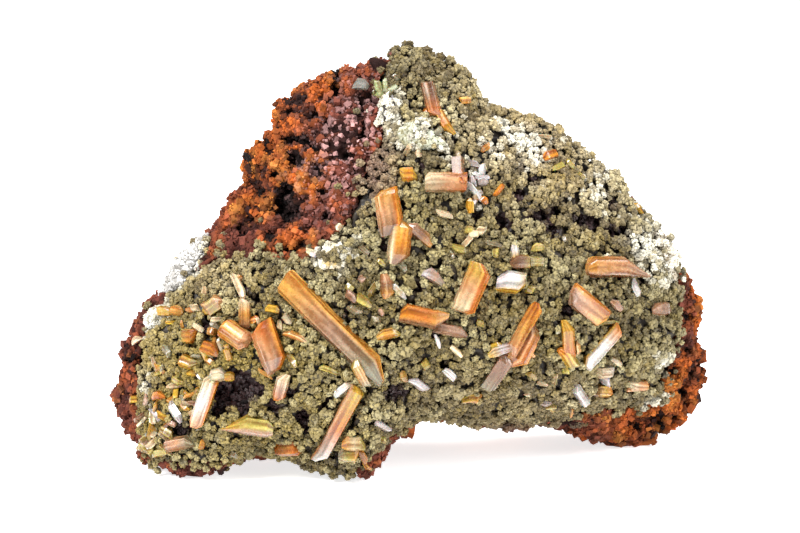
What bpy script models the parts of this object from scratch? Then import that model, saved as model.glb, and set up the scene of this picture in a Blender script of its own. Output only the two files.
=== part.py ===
"""Mimetite specimen: a rusty limonite rock whose face carries a crust of mimetite and wulfenite crystals.

Metres, +Z up. The crusted face looks along -Y, the rock stands on three feet at Z = 0, and the
origin is under its middle. Places on the face are (u, v) in millimetres, measured on the sight
plane: the plane through the origin, square to a line of sight that looks slightly down.
"""
import math

import bmesh
import bpy
import numpy as np
from mathutils import Matrix, Vector, noise
from mathutils.bvhtree import BVHTree

MM = 0.001

# Line of sight from which the outlines and the crystals are measured.
SIGHT_TILT = math.radians(10)
SIGHT_DISTANCE = 330
SIGHT_CENTRE = (-1.4, 26.7)

# The specimen's middle is brought over the origin by this shift.
SHIFT = (-0.6, -1.4, 0)

SEAT_GAP = 0.3
CRUST_THICKNESS = 3.4
LUMP_HEIGHT = 1.6
LUMP_PITCH = 6.5

# Rings of the rock between the middle of a face (0) and the rim (1).
FACE_RINGS = (0.22, 0.42, 0.6, 0.76, 0.88, 0.96)
EDGE_ROUNDING = 4
ROCK_CENTRE = (-1.4, 23.5)

# Rim of the rock, clockwise from the top: u, v and the depth y, all in millimetres.
ROCK_RIM = (
    (-0.3, 56.4, 4), (4.1, 55.3, 4), (8.1, 52.2, 4), (8.6, 49.8, 4), (14.2, 46.6, 5),
    (18.8, 45.8, 5), (25.5, 40.4, 6), (31.5, 34.2, 6), (35.6, 28.2, 6), (38.0, 23.0, 7),
    (39.0, 17.0, 8), (40.1, 13.0, 9), (39.4, 8.1, 9), (36.8, 5.2, 9), (33.4, 1.9, 10),
    (30.0, 1.2, 10), (26.4, 2.2, 10), (22.2, 4.4, 7), (20.2, 4.7, 4), (16.0, 5.3, 2),
    (10.5, 5.2, 0), (5.0, 6.4, -1), (1.4, 6.1, -2), (-3.2, 2.8, -5), (-6.3, -0.9, -7),
    (-9.3, -2.9, -7), (-12.6, -2.0, -7), (-16.0, 0.6, -6), (-22.0, 1.0, -5), (-25.0, -0.7, -6),
    (-28.7, -2.9, -6), (-32.4, -2.2, -6), (-36.6, 1.0, -4), (-38.6, 5.3, -1), (-40.2, 9.5, 0),
    (-38.7, 15.5, 1), (-36.6, 20.2, 1), (-31.9, 25.5, 2), (-29.4, 29.4, 3), (-25.4, 33.2, 4),
    (-22.6, 37.8, 4), (-22.9, 42.4, 4), (-19.2, 45.8, 4), (-18.2, 49.0, 4), (-12.0, 53.1, 4),
    (-6.0, 54.2, 4),
)

# Rim of the rock under the crust, clockwise from the top.
UNDER_RIM = (
    (-0.3, 52.8, 4), (5.0, 49.6, 4), (11.0, 45.6, 5), (17.5, 42.2, 5), (24.0, 36.5, 6),
    (29.5, 31.0, 6), (34.0, 23.0, 7), (35.6, 15.5, 8), (35.6, 9.0, 9), (30.5, 6.0, 9),
    (23.0, 8.2, 7), (15.5, 8.8, 2), (7.0, 9.6, 0), (-1.0, 8.0, -3), (-6.5, 4.0, -6),
    (-10.8, 1.6, -7), (-16.5, 4.2, -6), (-23.0, 4.2, -5), (-29.0, 1.6, -6), (-34.0, 4.2, -3),
    (-36.4, 9.5, 0), (-35.2, 15.0, 1), (-30.0, 22.4, 2), (-25.0, 28.4, 3), (-19.2, 37.5, 4),
    (-16.0, 46.5, 4), (-8.5, 51.0, 4),
)

# Depth y of the crusted face and of the broken back, at chosen places.
FACE_DEPTH = (
    (0, 23, -13), (-18, 18, -14), (-32, 10, -11), (-20, 3, -13), (-9, 2, -14), (-36, 16, -7),
    (-25, 27, -8), (-16, 36, -8), (-12, 47, -5), (0, 38, -10), (3, 50, -4), (14, 36, -7),
    (24, 32, -4), (12, 22, -12), (24, 20, -9), (14, 10, -10), (26, 11, -6), (33, 20, -3),
    (34, 9, 2), (30, 3, 5),
)
BACK_DEPTH = (
    (0, 23, 18), (-22, 14, 15), (20, 16, 21), (-34, 8, 10), (34, 12, 19), (-12, 42, 13),
    (8, 44, 13), (24, 32, 15), (-6, 4, 12), (14, 8, 15), (-30, 1, 11), (30, 3, 21),
)

# Edge of the crust, clockwise from the top: u, v and, where it wraps over the rim, its depth y.
CRUST_CENTRE = (2.7, 23.5)
CRUST_EDGE = (
    (-0.3, 57.0, 5.5), (5.0, 56.5, 5.5), (10.0, 51.8, 5.5), (15.0, 47.8, 6.5), (20.0, 47.0, 6.5),
    (27.0, 41.2, 7.5), (33.0, 35.0, 7.5), (35.4, 30.0, None), (35.4, 24.7, None),
    (36.0, 18.6, None), (35.0, 15.0, None), (33.6, 9.8, None), (29.2, 7.7, None),
    (24.6, 7.6, None), (20.4, 6.2, None), (15.4, 3.6, 0), (10.0, 3.8, -2), (5.0, 5.0, -3),
    (0.7, 6.0, -5), (-3.0, 4.2, None), (-6.0, 1.2, None), (-9.6, -5.0, -3), (-13.0, -4.6, -3),
    (-16.2, -2.0, -4), (-22.4, 0.6, None), (-29.7, 0.8, None), (-35.4, 1.4, None),
    (-36.7, 5.0, None), (-36.4, 13.0, None), (-35.4, 18.6, None), (-31.0, 23.6, None),
    (-27.0, 27.2, None), (-18.0, 27.6, None), (-10.8, 27.6, None), (-8.8, 30.9, None),
    (-6.1, 37.0, None), (-3.0, 45.1, None), (-3.6, 52.0, None),
)
UNDER_RINGS = (0.35, 0.65, 0.85, 0.96)
FRONT_LIMIT = -40

# White calcite lumps: middle (u, v), half width, half height, half thickness, turn in degrees.
CALCITE_LUMPS = {
    "calcite_left_shoulder": ((-29.8, 26.6), 5.2, 2.3, 2.2, 50),
    "calcite_left_edge": ((-34.6, 19.6), 2.0, 1.3, 1.4, 40),
    "calcite_middle_patch": ((-10.0, 28.4), 3.0, 1.7, 1.5, 20),
    "calcite_top_cluster": ((1.6, 43.8), 3.4, 1.6, 1.5, -8),
    "calcite_top_patch": ((-2.8, 47.8), 1.5, 2.0, 1.4, -20),
    "calcite_right_rim": ((34.2, 28.6), 1.7, 4.6, 1.6, 24),
}

# Colours are linear red, green and blue.
FINISHES = {
    "mimetite": ((0.21, 0.21, 0.12), 0.55),
    "limonite": ((0.26, 0.07, 0.025), 0.85),
    "calcite": ((0.74, 0.75, 0.70), 0.45),
    "wulfenite_orange": ((0.62, 0.24, 0.05), 0.22),
    "wulfenite_brown": ((0.45, 0.25, 0.15), 0.25),
    "wulfenite_yellow": ((0.58, 0.36, 0.06), 0.25),
}


def crystal(start, end, width, thickness, rise, tips):
    """One crystal: its ends on the sight plane, its section, the height of its middle line over the
    crust, and the length of the taper at each end, all in millimetres."""
    return {"start": start, "end": end, "width": width, "thickness": thickness, "rise": rise,
            "tips": tips}


# Each named group is one crystal, or crystals that grew into one another.
CRYSTALS = {
    ("wulfenite_long_blade", "wulfenite_brown"): (
        crystal((-17.1, 24.8), (-3.5, 11.5), 3.6, 2.4, 1.3, (0.3, 2.4)),
        crystal((-7.7, 13.9), (-5.8, 10.4), 1.4, 1.4, 1.8, (0.6, 0.6))),
    ("wulfenite_long_prism", "wulfenite_orange"): (
        crystal((-7.0, 10.4), (-12.6, 0.3), 2.2, 2.0, 1.0, (0.5, 2.0)),
        crystal((-10.3, 9.2), (-7.9, 11.2), 1.2, 1.2, 0.7, (0.7, 0.7))),
    ("wulfenite_foot_block", "wulfenite_yellow"): (
        crystal((-9.2, 2.9), (-6.1, 2.9), 2.2, 2.2, 0.7, (0.6, 0.6)),
        crystal((-9.6, 1.5), (-6.8, 1.5), 2.4, 2.2, 0.7, (0.6, 0.6))),
    ("wulfenite_low_nugget", "wulfenite_orange"): (
        crystal((-18.2, 2.2), (-15.0, 2.4), 2.3, 2.0, 0.6, (0.9, 0.3)),),
    ("wulfenite_left_block", "wulfenite_orange"): (
        crystal((-20.1, 18.9), (-18.0, 12.8), 3.4, 2.6, 1.0, (0.8, 1.2)),),
    ("wulfenite_left_stub", "wulfenite_orange"): (
        crystal((-25.2, 18.6), (-22.1, 16.4), 2.8, 2.4, 1.1, (0.5, 0.4)),
        crystal((-22.3, 22.3), (-22.3, 18.2), 1.6, 1.8, 0.8, (0.5, 0.5))),
    ("wulfenite_thin_spear", "wulfenite_orange"): (
        crystal((-17.0, 17.9), (-13.4, 16.5), 1.1, 1.2, 0.7, (0.8, 1.4)),),
    ("wulfenite_upright_prism", "wulfenite_orange"): (
        crystal((-17.0, 12.2), (-17.9, 8.5), 1.8, 1.6, 0.7, (0.7, 0.9)),),
    ("wulfenite_lens_blade", "wulfenite_yellow"): (
        crystal((-25.4, 5.9), (-18.5, 5.0), 2.7, 1.8, 0.9, (3.2, 0.8)),),
    ("wulfenite_bead", "wulfenite_yellow"): (
        crystal((-4.6, 17.3), (-1.4, 18.0), 1.5, 1.4, 0.6, (0.9, 0.9)),),
    ("wulfenite_centre_blade", "wulfenite_orange"): (
        crystal((-1.3, 20.6), (5.0, 19.1), 2.7, 2.0, 1.0, (0.6, 1.6)),
        crystal((3.2, 18.6), (7.7, 17.6), 1.6, 1.4, 0.5, (0.7, 1.0))),
    ("wulfenite_brown_prism", "wulfenite_yellow"): (
        crystal((-3.3, 25.8), (-3.0, 22.4), 1.9, 1.6, 0.8, (1.2, 0.6)),
        crystal((-2.6, 24.4), (-0.5, 22.4), 0.9, 1.0, 0.8, (0.5, 0.7))),
    ("wulfenite_twin_blades", "wulfenite_orange"): (
        crystal((-3.4, 37.0), (-2.4, 31.2), 3.1, 2.2, 1.1, (0.7, 0.9)),
        crystal((-1.1, 32.8), (-1.8, 27.0), 3.0, 2.0, 1.1, (0.7, 1.2)),
        crystal((-0.2, 32.4), (3.0, 29.6), 1.6, 1.4, 0.7, (0.7, 1.3))),
    ("wulfenite_wedge", "wulfenite_brown"): (
        crystal((1.9, 26.2), (5.0, 24.4), 1.6, 1.4, 0.6, (0.6, 1.8)),),
    ("wulfenite_large_prism", "wulfenite_orange"): (
        crystal((9.6, 27.0), (6.9, 20.6), 3.2, 2.8, 1.3, (1.0, 0.4)),),
    ("wulfenite_peach_prism", "wulfenite_orange"): (
        crystal((2.0, 38.1), (7.7, 38.1), 2.8, 2.4, 1.2, (0.5, 0.5)),
        crystal((6.3, 41.4), (6.6, 37.9), 1.8, 1.6, 0.8, (0.5, 0.5))),
    ("wulfenite_yellow_cube", "wulfenite_yellow"): (
        crystal((-1.4, 39.0), (0.9, 39.0), 2.0, 1.8, 0.8, (0.4, 0.6)),),
    ("wulfenite_upper_trio", "wulfenite_yellow"): (
        crystal((13.6, 27.4), (16.1, 27.4), 1.9, 1.6, 0.6, (0.5, 0.4)),
        crystal((15.5, 27.4), (18.1, 27.4), 1.5, 1.5, 0.6, (0.4, 0.5)),
        crystal((13.9, 30.1), (14.4, 27.5), 1.1, 1.2, 0.7, (0.8, 0.4))),
    ("pale_round_crystal", "calcite"): (
        crystal((11.5, 24.8), (15.7, 24.2), 2.9, 2.2, 0.6, (1.6, 1.6)),),
    ("wulfenite_crossed_blades", "wulfenite_orange"): (
        crystal((17.3, 21.6), (13.4, 14.9), 1.9, 1.8, 1.3, (0.6, 1.0)),
        crystal((16.9, 19.2), (13.8, 13.1), 3.2, 2.2, 1.0, (1.6, 1.2)),
        crystal((10.5, 14.9), (14.0, 16.0), 1.4, 1.6, 0.8, (0.7, 0.4)),
        crystal((13.2, 14.6), (10.0, 9.9), 2.2, 1.8, 0.7, (0.5, 1.0))),
    ("wulfenite_right_spear", "wulfenite_brown"): (
        crystal((23.9, 26.7), (32.4, 26.5), 2.8, 2.2, 1.1, (0.7, 4.5)),),
    ("wulfenite_right_prism", "wulfenite_orange"): (
        crystal((21.7, 23.2), (26.3, 19.4), 3.0, 2.4, 1.2, (0.8, 1.0)),),
    ("wulfenite_bicoloured_blade", "wulfenite_orange"): (
        crystal((28.4, 18.6), (23.6, 13.2), 2.1, 1.8, 1.2, (0.9, 0.9)),),
    ("wulfenite_paired_spears", "wulfenite_yellow"): (
        crystal((21.2, 19.4), (21.5, 14.6), 1.8, 1.7, 0.9, (1.2, 0.8)),
        crystal((20.5, 15.8), (22.2, 13.0), 1.8, 1.6, 0.8, (0.9, 0.8))),
    ("wulfenite_pale_stub", "wulfenite_yellow"): (
        crystal((25.0, 12.3), (27.6, 12.5), 1.7, 1.6, 0.6, (0.6, 0.8)),),
    ("wulfenite_olive_stub", "wulfenite_yellow"): (
        crystal((24.7, 9.9), (27.2, 9.9), 1.8, 1.6, 0.6, (0.6, 0.6)),),
    ("calcite_prism", "calcite"): (
        crystal((22.3, 10.4), (23.7, 8.2), 1.4, 1.3, 0.8, (0.3, 0.3)),),
    ("wulfenite_yellow_nugget", "wulfenite_yellow"): (
        crystal((7.0, 9.0), (9.6, 8.9), 1.6, 1.6, 0.6, (0.7, 0.7)),),
    ("wulfenite_right_nugget", "wulfenite_orange"): (
        crystal((29.4, 10.6), (32.2, 10.6), 1.5, 1.6, 0.6, (0.8, 0.8)),),
    ("wulfenite_top_column", "wulfenite_brown"): (
        crystal((2.2, 51.7), (3.4, 47.0), 2.0, 1.6, 0.8, (0.6, 0.5)),
        crystal((3.6, 48.0), (5.6, 44.4), 1.4, 1.4, 0.8, (0.6, 1.4))),
    ("wulfenite_left_cube", "wulfenite_yellow"): (
        crystal((-27.7, 20.7), (-25.4, 22.3), 2.5, 2.0, 0.7, (0.6, 0.6)),),
    ("wulfenite_shoulder_cube", "wulfenite_yellow"): (
        crystal((-31.0, 17.3), (-28.8, 17.3), 2.0, 1.8, 0.6, (0.6, 0.6)),),
    ("wulfenite_yellow_block", "wulfenite_yellow"): (
        crystal((-31.2, 14.2), (-28.8, 13.2), 1.9, 1.8, 0.6, (0.5, 0.8)),),
    ("wulfenite_striped_prism", "wulfenite_orange"): (
        crystal((-26.7, 11.9), (-29.0, 5.0), 2.2, 2.0, 1.1, (0.6, 0.8)),
        crystal((-27.1, 11.9), (-24.7, 12.4), 1.8, 1.6, 0.9, (0.6, 0.7))),
    ("calcite_left_shard", "calcite"): (
        crystal((-32.6, 8.4), (-30.8, 5.7), 1.2, 1.2, 0.8, (0.8, 0.8)),),
    ("wulfenite_corner_block", "wulfenite_brown"): (
        crystal((-33.2, 2.4), (-29.4, 3.2), 1.9, 1.8, 0.6, (0.7, 0.7)),),
}


def clear_scene():
    """Remove whatever objects the file starts with."""
    for old in list(bpy.data.objects):
        bpy.data.objects.remove(old, do_unlink=True)


def finish(name):
    """The named finish as a material, made once."""
    if name in bpy.data.materials:
        return bpy.data.materials[name]
    colour, roughness = FINISHES[name]
    material = bpy.data.materials.new(name)
    material.use_nodes = True
    shader = material.node_tree.nodes["Principled BSDF"]
    shader.inputs["Base Color"].default_value = (*colour, 1)
    shader.inputs["Roughness"].default_value = roughness
    shader.inputs["Metallic"].default_value = 0
    return material


SIGHT_RIGHT = Vector((1, 0, 0))
SIGHT_UP = Vector((0, math.sin(SIGHT_TILT), math.cos(SIGHT_TILT)))
SIGHT_BACK = Vector((0, -math.cos(SIGHT_TILT), math.sin(SIGHT_TILT)))
EYE = SIGHT_CENTRE[0] * SIGHT_RIGHT + SIGHT_CENTRE[1] * SIGHT_UP + SIGHT_DISTANCE * SIGHT_BACK


def sight_ray(u, v):
    """Direction from the eye through (u, v) on the sight plane."""
    return (u * SIGHT_RIGHT + v * SIGHT_UP - EYE).normalized()


def at_depth(u, v, y):
    """The point seen at (u, v) whose depth is y."""
    ray = sight_ray(u, v)
    return EYE + ray * ((y - EYE.y) / ray.y)


def spline_through(samples):
    """A smooth depth surface y(u, v) through the samples: a thin-plate spline."""
    places = np.array([sample[:2] for sample in samples], float)
    depths = np.array([sample[2] for sample in samples], float)
    count = len(samples)

    def bend(distance):
        return distance ** 2 * np.log(distance + 1e-9)

    spread = np.linalg.norm(places[:, None] - places[None], axis=2)
    flat = np.column_stack((np.ones(count), places))
    system = np.block([[bend(spread) + np.eye(count) * 5, flat], [flat.T, np.zeros((3, 3))]])
    weights = np.linalg.solve(system, np.append(depths, np.zeros(3)))

    def depth(u, v):
        reach = np.linalg.norm(places - (u, v), axis=1)
        return float(bend(reach) @ weights[:count] + weights[count:] @ (1, u, v))

    return depth


face_depth = spline_through(FACE_DEPTH)
back_depth = spline_through(BACK_DEPTH)


def along(centre, edge, fraction):
    """(u, v) on the spoke from the centre to a point of an edge."""
    return (centre[0] + (edge[0] - centre[0]) * fraction,
            centre[1] + (edge[1] - centre[1]) * fraction)


def offset(outline, distance):
    """A clockwise outline with each point moved outwards, square to the line past its neighbours."""
    moved = []
    befores = outline[-1:] + outline[:-1]
    afters = outline[1:] + outline[:1]
    for before, (u, v, depth), after in zip(befores, outline, afters):
        run = Vector((after[0] - before[0], after[1] - before[1])).normalized()
        moved.append((u - run.y * distance, v + run.x * distance, depth))
    return moved


def lumpy(edge, fraction, y):
    """The rock's point on the spoke to an edge point, moved along the spoke and in depth by the
    rock's lumps, and no lower than the table."""
    place = at_depth(*along(ROCK_CENTRE, edge, fraction), y) / LUMP_PITCH
    outwards, deeper = (noise.noise(place + Vector((0, 0, shift))) * LUMP_HEIGHT for shift in (0, 20))
    fraction += fraction ** 0.5 * outwards / math.dist(ROCK_CENTRE, edge[:2])
    point = at_depth(*along(ROCK_CENTRE, edge, fraction), y + deeper)
    point.z = max(point.z, 0)
    return point


def as_object(name, mesh):
    """A mesh under construction as an object of the scene."""
    data = bpy.data.meshes.new(name)
    mesh.to_mesh(data)
    mesh.free()
    made = bpy.data.objects.new(name, data)
    bpy.context.scene.collection.objects.link(made)
    return made


def shell(name, rings, first_pole, last_pole):
    """A closed mesh object: a pole, rings of points that all have as many, and a pole."""
    mesh = bmesh.new()
    start = mesh.verts.new(first_pole * MM)
    loops = [[mesh.verts.new(point * MM) for point in ring] for ring in rings]
    end = mesh.verts.new(last_pole * MM)
    count = len(rings[0])
    for i in range(count):
        j = (i + 1) % count
        mesh.faces.new((start, loops[0][j], loops[0][i]))
        for inner, outer in zip(loops, loops[1:]):
            mesh.faces.new((inner[i], inner[j], outer[j], outer[i]))
        mesh.faces.new((loops[-1][i], loops[-1][j], end))
    bmesh.ops.triangulate(mesh, faces=mesh.faces[:], quad_method="FIXED")
    bmesh.ops.recalc_face_normals(mesh, faces=mesh.faces[:])
    return as_object(name, mesh)


def hide(made):
    """Mark an object as a cutter or a guide."""
    made.hide_render = True
    made.display_type = "WIRE"
    return made


def rock(name, rim=ROCK_RIM, fractions=FACE_RINGS, inset=0):
    """The whole rock, or one inside it whose faces are moved inwards by the inset: spokes from the
    middle of each face to the rim, with a rounded edge."""
    def ring(surface, side, fraction):
        swell = math.sqrt(1 - fraction ** EDGE_ROUNDING)
        points = []
        for edge in rim:
            face = surface(*along(ROCK_CENTRE, edge, fraction)) + side * inset
            points.append(lumpy(edge, fraction, edge[2] + (face - edge[2]) * swell))
        return points

    rings = [ring(face_depth, 1, fraction) for fraction in (*fractions, 1)]
    rings += [ring(back_depth, -1, fraction) for fraction in reversed(fractions)]
    front = at_depth(*ROCK_CENTRE, face_depth(*ROCK_CENTRE) + inset)
    back = at_depth(*ROCK_CENTRE, back_depth(*ROCK_CENTRE) - inset)
    return shell(name, rings, front, back)


def crust_space(name, gap):
    """The space that the crust may fill, grown by the gap: all that lies before its edge, less the
    rock under it. The edge is deeper where the crust wraps over the rim."""
    back = []
    front = []
    for u, v, depth in offset(CRUST_EDGE, gap):
        if depth is None:
            depth = face_depth(u, v) + CRUST_THICKNESS + 2
        back.append(at_depth(u, v, depth + gap))
        front.append(at_depth(u, v, FRONT_LIMIT))
    poles = at_depth(*CRUST_CENTRE, 2 + gap), at_depth(*CRUST_CENTRE, FRONT_LIMIT)
    space = hide(shell(name, [back, front], *poles))
    rim = offset(UNDER_RIM, -gap)
    under = rock(f"under_{name}", rim, UNDER_RINGS, CRUST_THICKNESS + gap)
    boolean(space, "DIFFERENCE", hide(under))
    return space


def boolean(target, operation, other):
    """Add one exact Boolean to the target."""
    cut = target.modifiers.new(f"{operation.lower()}_{other.name}"[:60], "BOOLEAN")
    cut.operation = operation
    cut.solver = "EXACT"
    cut.object = other


def surface_tree(made):
    """A search tree of an object's surface, in millimetres."""
    points = [vertex.co / MM for vertex in made.data.vertices]
    return BVHTree.FromPolygons(points, [face.vertices[:] for face in made.data.polygons])


def seen_on(tree, place):
    """The point of the surface that is seen at (u, v)."""
    point = tree.ray_cast(EYE, sight_ray(*place))[0]
    return point if point else at_depth(*place, face_depth(*place))


def lie_on(tree, data):
    """Where a crystal lies: the ends of its middle line, and its axis, side and front."""
    outward = -sight_ray(*data["start"])
    start = seen_on(tree, data["start"]) + outward * data["rise"]
    end = seen_on(tree, data["end"]) + outward * data["rise"]
    axis = (end - start).normalized()
    side = axis.cross(outward).normalized()
    return start, end, axis, side, side.cross(axis)


def crystal_solid(name, tree, data):
    """A crystal on the crust: a six-sided prism that tapers to a chisel at each end."""
    start, end, axis, side, front = lie_on(tree, data)
    length = (end - start).length
    stations = ((0, 0.45), (data["tips"][0], 1), (length - data["tips"][1], 1), (length, 0.35))
    rings = []
    for place, size in stations:
        centre = start + axis * place
        w = data["width"] * size / 2
        t = data["thickness"] * size / 2
        corners = ((w, 0), (w * 0.55, t), (-w * 0.55, t), (-w, 0), (-w * 0.55, -t), (w * 0.55, -t))
        rings.append([centre + side * x + front * y for x, y in corners])
    return shell(name, rings, start - axis * 0.1, end + axis * 0.1)


def crystal_seat(name, tree, data):
    """The seat of a crystal: the box round it, larger by the gap on every side."""
    start, end, axis, side, front = lie_on(tree, data)
    w = data["width"] / 2 + SEAT_GAP
    t = data["thickness"] / 2 + SEAT_GAP
    corners = [side * x + front * y for x, y in ((w, t), (-w, t), (-w, -t), (w, -t))]
    ends = start - axis * (SEAT_GAP + 0.1), end + axis * (SEAT_GAP + 0.1)
    mesh = bmesh.new()
    for centre in ends:
        for corner in corners:
            mesh.verts.new((centre + corner) * MM)
    bmesh.ops.convex_hull(mesh, input=mesh.verts[:])
    bmesh.ops.dissolve_limit(mesh, angle_limit=0.01, verts=mesh.verts[:], edges=mesh.edges[:])
    return hide(as_object(name, mesh))


def calcite_solid(name, tree, middle, half_sizes, turn, gap):
    """A rounded lump: an icosphere stretched to three half sizes, set into the surface."""
    centre = seen_on(tree, middle)
    outward = -sight_ray(*middle)
    spin = Matrix.Rotation(math.radians(turn), 4, outward)
    side = spin @ SIGHT_RIGHT
    rise = outward.cross(side)
    mesh = bmesh.new()
    bmesh.ops.create_icosphere(mesh, subdivisions=2, radius=1)
    for vertex in mesh.verts:
        width, height, thickness = (size + gap for size in half_sizes)
        place = side * vertex.co.x * width + rise * vertex.co.y * height
        vertex.co = (centre + place + outward * vertex.co.z * thickness) * MM
    return as_object(name, mesh)


def place_crystals(tree, holders):
    """Make each crystal group, and cut its seat in the crust and the rock."""
    made = []
    for (name, look), members in CRYSTALS.items():
        solids = [crystal_solid(name if i == 0 else f"{name}_{i + 1}", tree, member)
                  for i, member in enumerate(members)]
        for other in solids[1:]:
            boolean(solids[0], "UNION", hide(other))
        solids[0].data.materials.append(finish(look))
        made.append(solids[0])
        for i, member in enumerate(members):
            seat = crystal_seat(f"seat_{name}_{i + 1}", tree, member)
            for holder in holders:
                boolean(holder, "DIFFERENCE", seat)
    return made


def place_calcite(tree, holders):
    """Make each calcite lump, and cut its seat in the crust and the rock."""
    made = []
    for name, (middle, width, height, thickness, turn) in CALCITE_LUMPS.items():
        half_sizes = (width, height, thickness)
        lump = calcite_solid(name, tree, middle, half_sizes, turn, 0)
        lump.data.materials.append(finish("calcite"))
        made.append(lump)
        seat = hide(calcite_solid(f"seat_{name}", tree, middle, half_sizes, turn, SEAT_GAP))
        for holder in holders:
            boolean(holder, "DIFFERENCE", seat)
    return made


def main():
    clear_scene()
    specimen = bpy.data.objects.new("specimen", None)
    bpy.context.scene.collection.objects.link(specimen)
    specimen.location = Vector(SHIFT) * MM

    matrix = rock("limonite_matrix")
    matrix.data.materials.append(finish("limonite"))
    tree = surface_tree(matrix)
    boolean(matrix, "DIFFERENCE", crust_space("crust_clearance", SEAT_GAP))

    crust = rock("mimetite_crust")
    crust.data.materials.append(finish("mimetite"))
    boolean(crust, "INTERSECT", crust_space("crust_space", 0))

    place_calcite(tree, (matrix, crust))
    place_crystals(tree, (crust,))
    for made in bpy.context.scene.collection.objects:
        if made is not specimen:
            made.parent = specimen


main()
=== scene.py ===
# %% [markdown]
# # A mimetite specimen
# The object is a rusty limonite rock. Its face carries a grey-green druse of mimetite, orange and
# yellow wulfenite crystals and patches of white calcite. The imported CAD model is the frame: it
# says where each part is, and this file gives each part its real surface.

# %% The frame
import math

import bmesh
import bpy
import numpy as np
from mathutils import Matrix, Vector
from mathutils.bvhtree import BVHTree


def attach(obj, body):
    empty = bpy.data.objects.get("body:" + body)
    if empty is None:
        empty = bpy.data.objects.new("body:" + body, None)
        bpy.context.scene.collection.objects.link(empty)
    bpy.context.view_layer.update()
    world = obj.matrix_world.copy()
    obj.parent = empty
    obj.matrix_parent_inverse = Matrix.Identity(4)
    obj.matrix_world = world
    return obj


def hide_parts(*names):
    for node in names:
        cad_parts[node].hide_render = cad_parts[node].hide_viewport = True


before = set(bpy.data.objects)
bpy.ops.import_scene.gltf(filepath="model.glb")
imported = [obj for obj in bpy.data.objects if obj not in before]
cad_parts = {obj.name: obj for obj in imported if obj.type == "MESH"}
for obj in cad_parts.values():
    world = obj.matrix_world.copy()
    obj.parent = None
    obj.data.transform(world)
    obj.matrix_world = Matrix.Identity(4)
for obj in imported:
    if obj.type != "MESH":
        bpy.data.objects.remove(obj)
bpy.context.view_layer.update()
print("CAD nodes:", len(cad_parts))

# %% [markdown]
# ## Where the camera stands
# The camera looks 10 degrees down on the crusted face, from 330 mm away, with a long lens. The
# places below are (u, v) in millimetres on the sight plane, which is square to the line of sight
# and passes through the middle of the foot. A place becomes a point by following the line of
# sight through it until it meets the rock.

# %% Line of sight
MM = 0.001
TILT = math.radians(10)
RIGHT = np.array((1.0, 0.0, 0.0))
UP = np.array((0.0, math.sin(TILT), math.cos(TILT)))
NEAR = np.array((0.0, -math.cos(TILT), math.sin(TILT)))
FOOT = np.array((-0.6, -1.4, 0.0))
SIGHT_DISTANCE = 330
EYE = FOOT - 1.4 * RIGHT + 26.7 * UP + SIGHT_DISTANCE * NEAR


def sight(u, v):
    """Unit direction from the eye through the place (u, v) of the sight plane."""
    line = FOOT + u * RIGHT + v * UP - EYE
    return line / np.linalg.norm(line)


def place_of(points):
    """The places (u, v) where points are seen: each point is slid along its line of sight until
    it lies on the sight plane."""
    lines = points - EYE
    reach = SIGHT_DISTANCE / -(lines @ NEAR)
    on_plane = EYE + lines * reach[:, None] - FOOT
    return np.column_stack((on_plane @ RIGHT, on_plane @ UP))


camera_data = bpy.data.cameras.new("camera")
camera_data.lens = 110
camera_data.sensor_width = 36
camera_data.clip_start = 0.01
camera = bpy.data.objects.new("camera", camera_data)
camera.location = EYE * MM
camera.rotation_euler = (math.pi / 2 - TILT, 0, 0)
bpy.context.scene.collection.objects.link(camera)
bpy.context.scene.camera = camera
print("camera at", [round(x, 4) for x in camera.location])

# %% [markdown]
# ## Small tools
# Rocks are irregular at every size, so most shapes below start from noise. The noise is worked
# out here with numpy for whole arrays of points at once, which keeps it fast and the same on
# every run. Meshes are filled from arrays too.

# %% Noise
def mixed(cells, seed):
    """A number from 0 to 1 for each whole-number cell, from its coordinates' bits multiplied,
    folded and multiplied again."""
    x, y, z = (cells[..., axis].astype(np.int64).astype(np.uint32) for axis in range(3))
    value = x * np.uint32(374761393) + y * np.uint32(668265263) + z * np.uint32(2246822519)
    value = value + np.uint32(seed * 9176 + 77)
    value = (value ^ (value >> np.uint32(13))) * np.uint32(1274126177)
    value = (value ^ (value >> np.uint32(15))) * np.uint32(2246822519)
    return ((value ^ (value >> np.uint32(16))) & np.uint32(0xFFFFFF)) / 0xFFFFFF


def cloud(points, size, seed=0, octaves=3):
    """Smooth noise from -1 to 1 with blobs of about the given size in millimetres: the eight
    corners of a point's cell are blended, and each octave is half as large and half as strong."""
    total = np.zeros(len(points))
    for octave in range(octaves):
        place = points / size * 2 ** octave + 31.7 * octave
        cell = np.floor(place)
        part = place - cell
        ease = part * part * (3 - 2 * part)
        for corner in np.ndindex(2, 2, 2):
            corner = np.array(corner)
            share = np.prod(np.where(corner, ease, 1 - ease), axis=1)
            total += share * (mixed(cell + corner, seed + octave) * 2 - 1) * 0.5 ** octave
    return total / (2 - 0.5 ** (octaves - 1))


def nearest_seed(points, size, seed=0):
    """Distance to the nearest of the scattered seeds, one a cell, as a share of the cell size."""
    place = points / size
    cell = np.floor(place)
    best = np.full(len(points), 9.0)
    for step in np.ndindex(3, 3, 3):
        other = cell + np.array(step) - 1
        spot = other + np.stack([mixed(other, seed + axis) for axis in range(3)], axis=1)
        best = np.minimum(best, np.linalg.norm(place - spot, axis=1))
    return best


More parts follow.
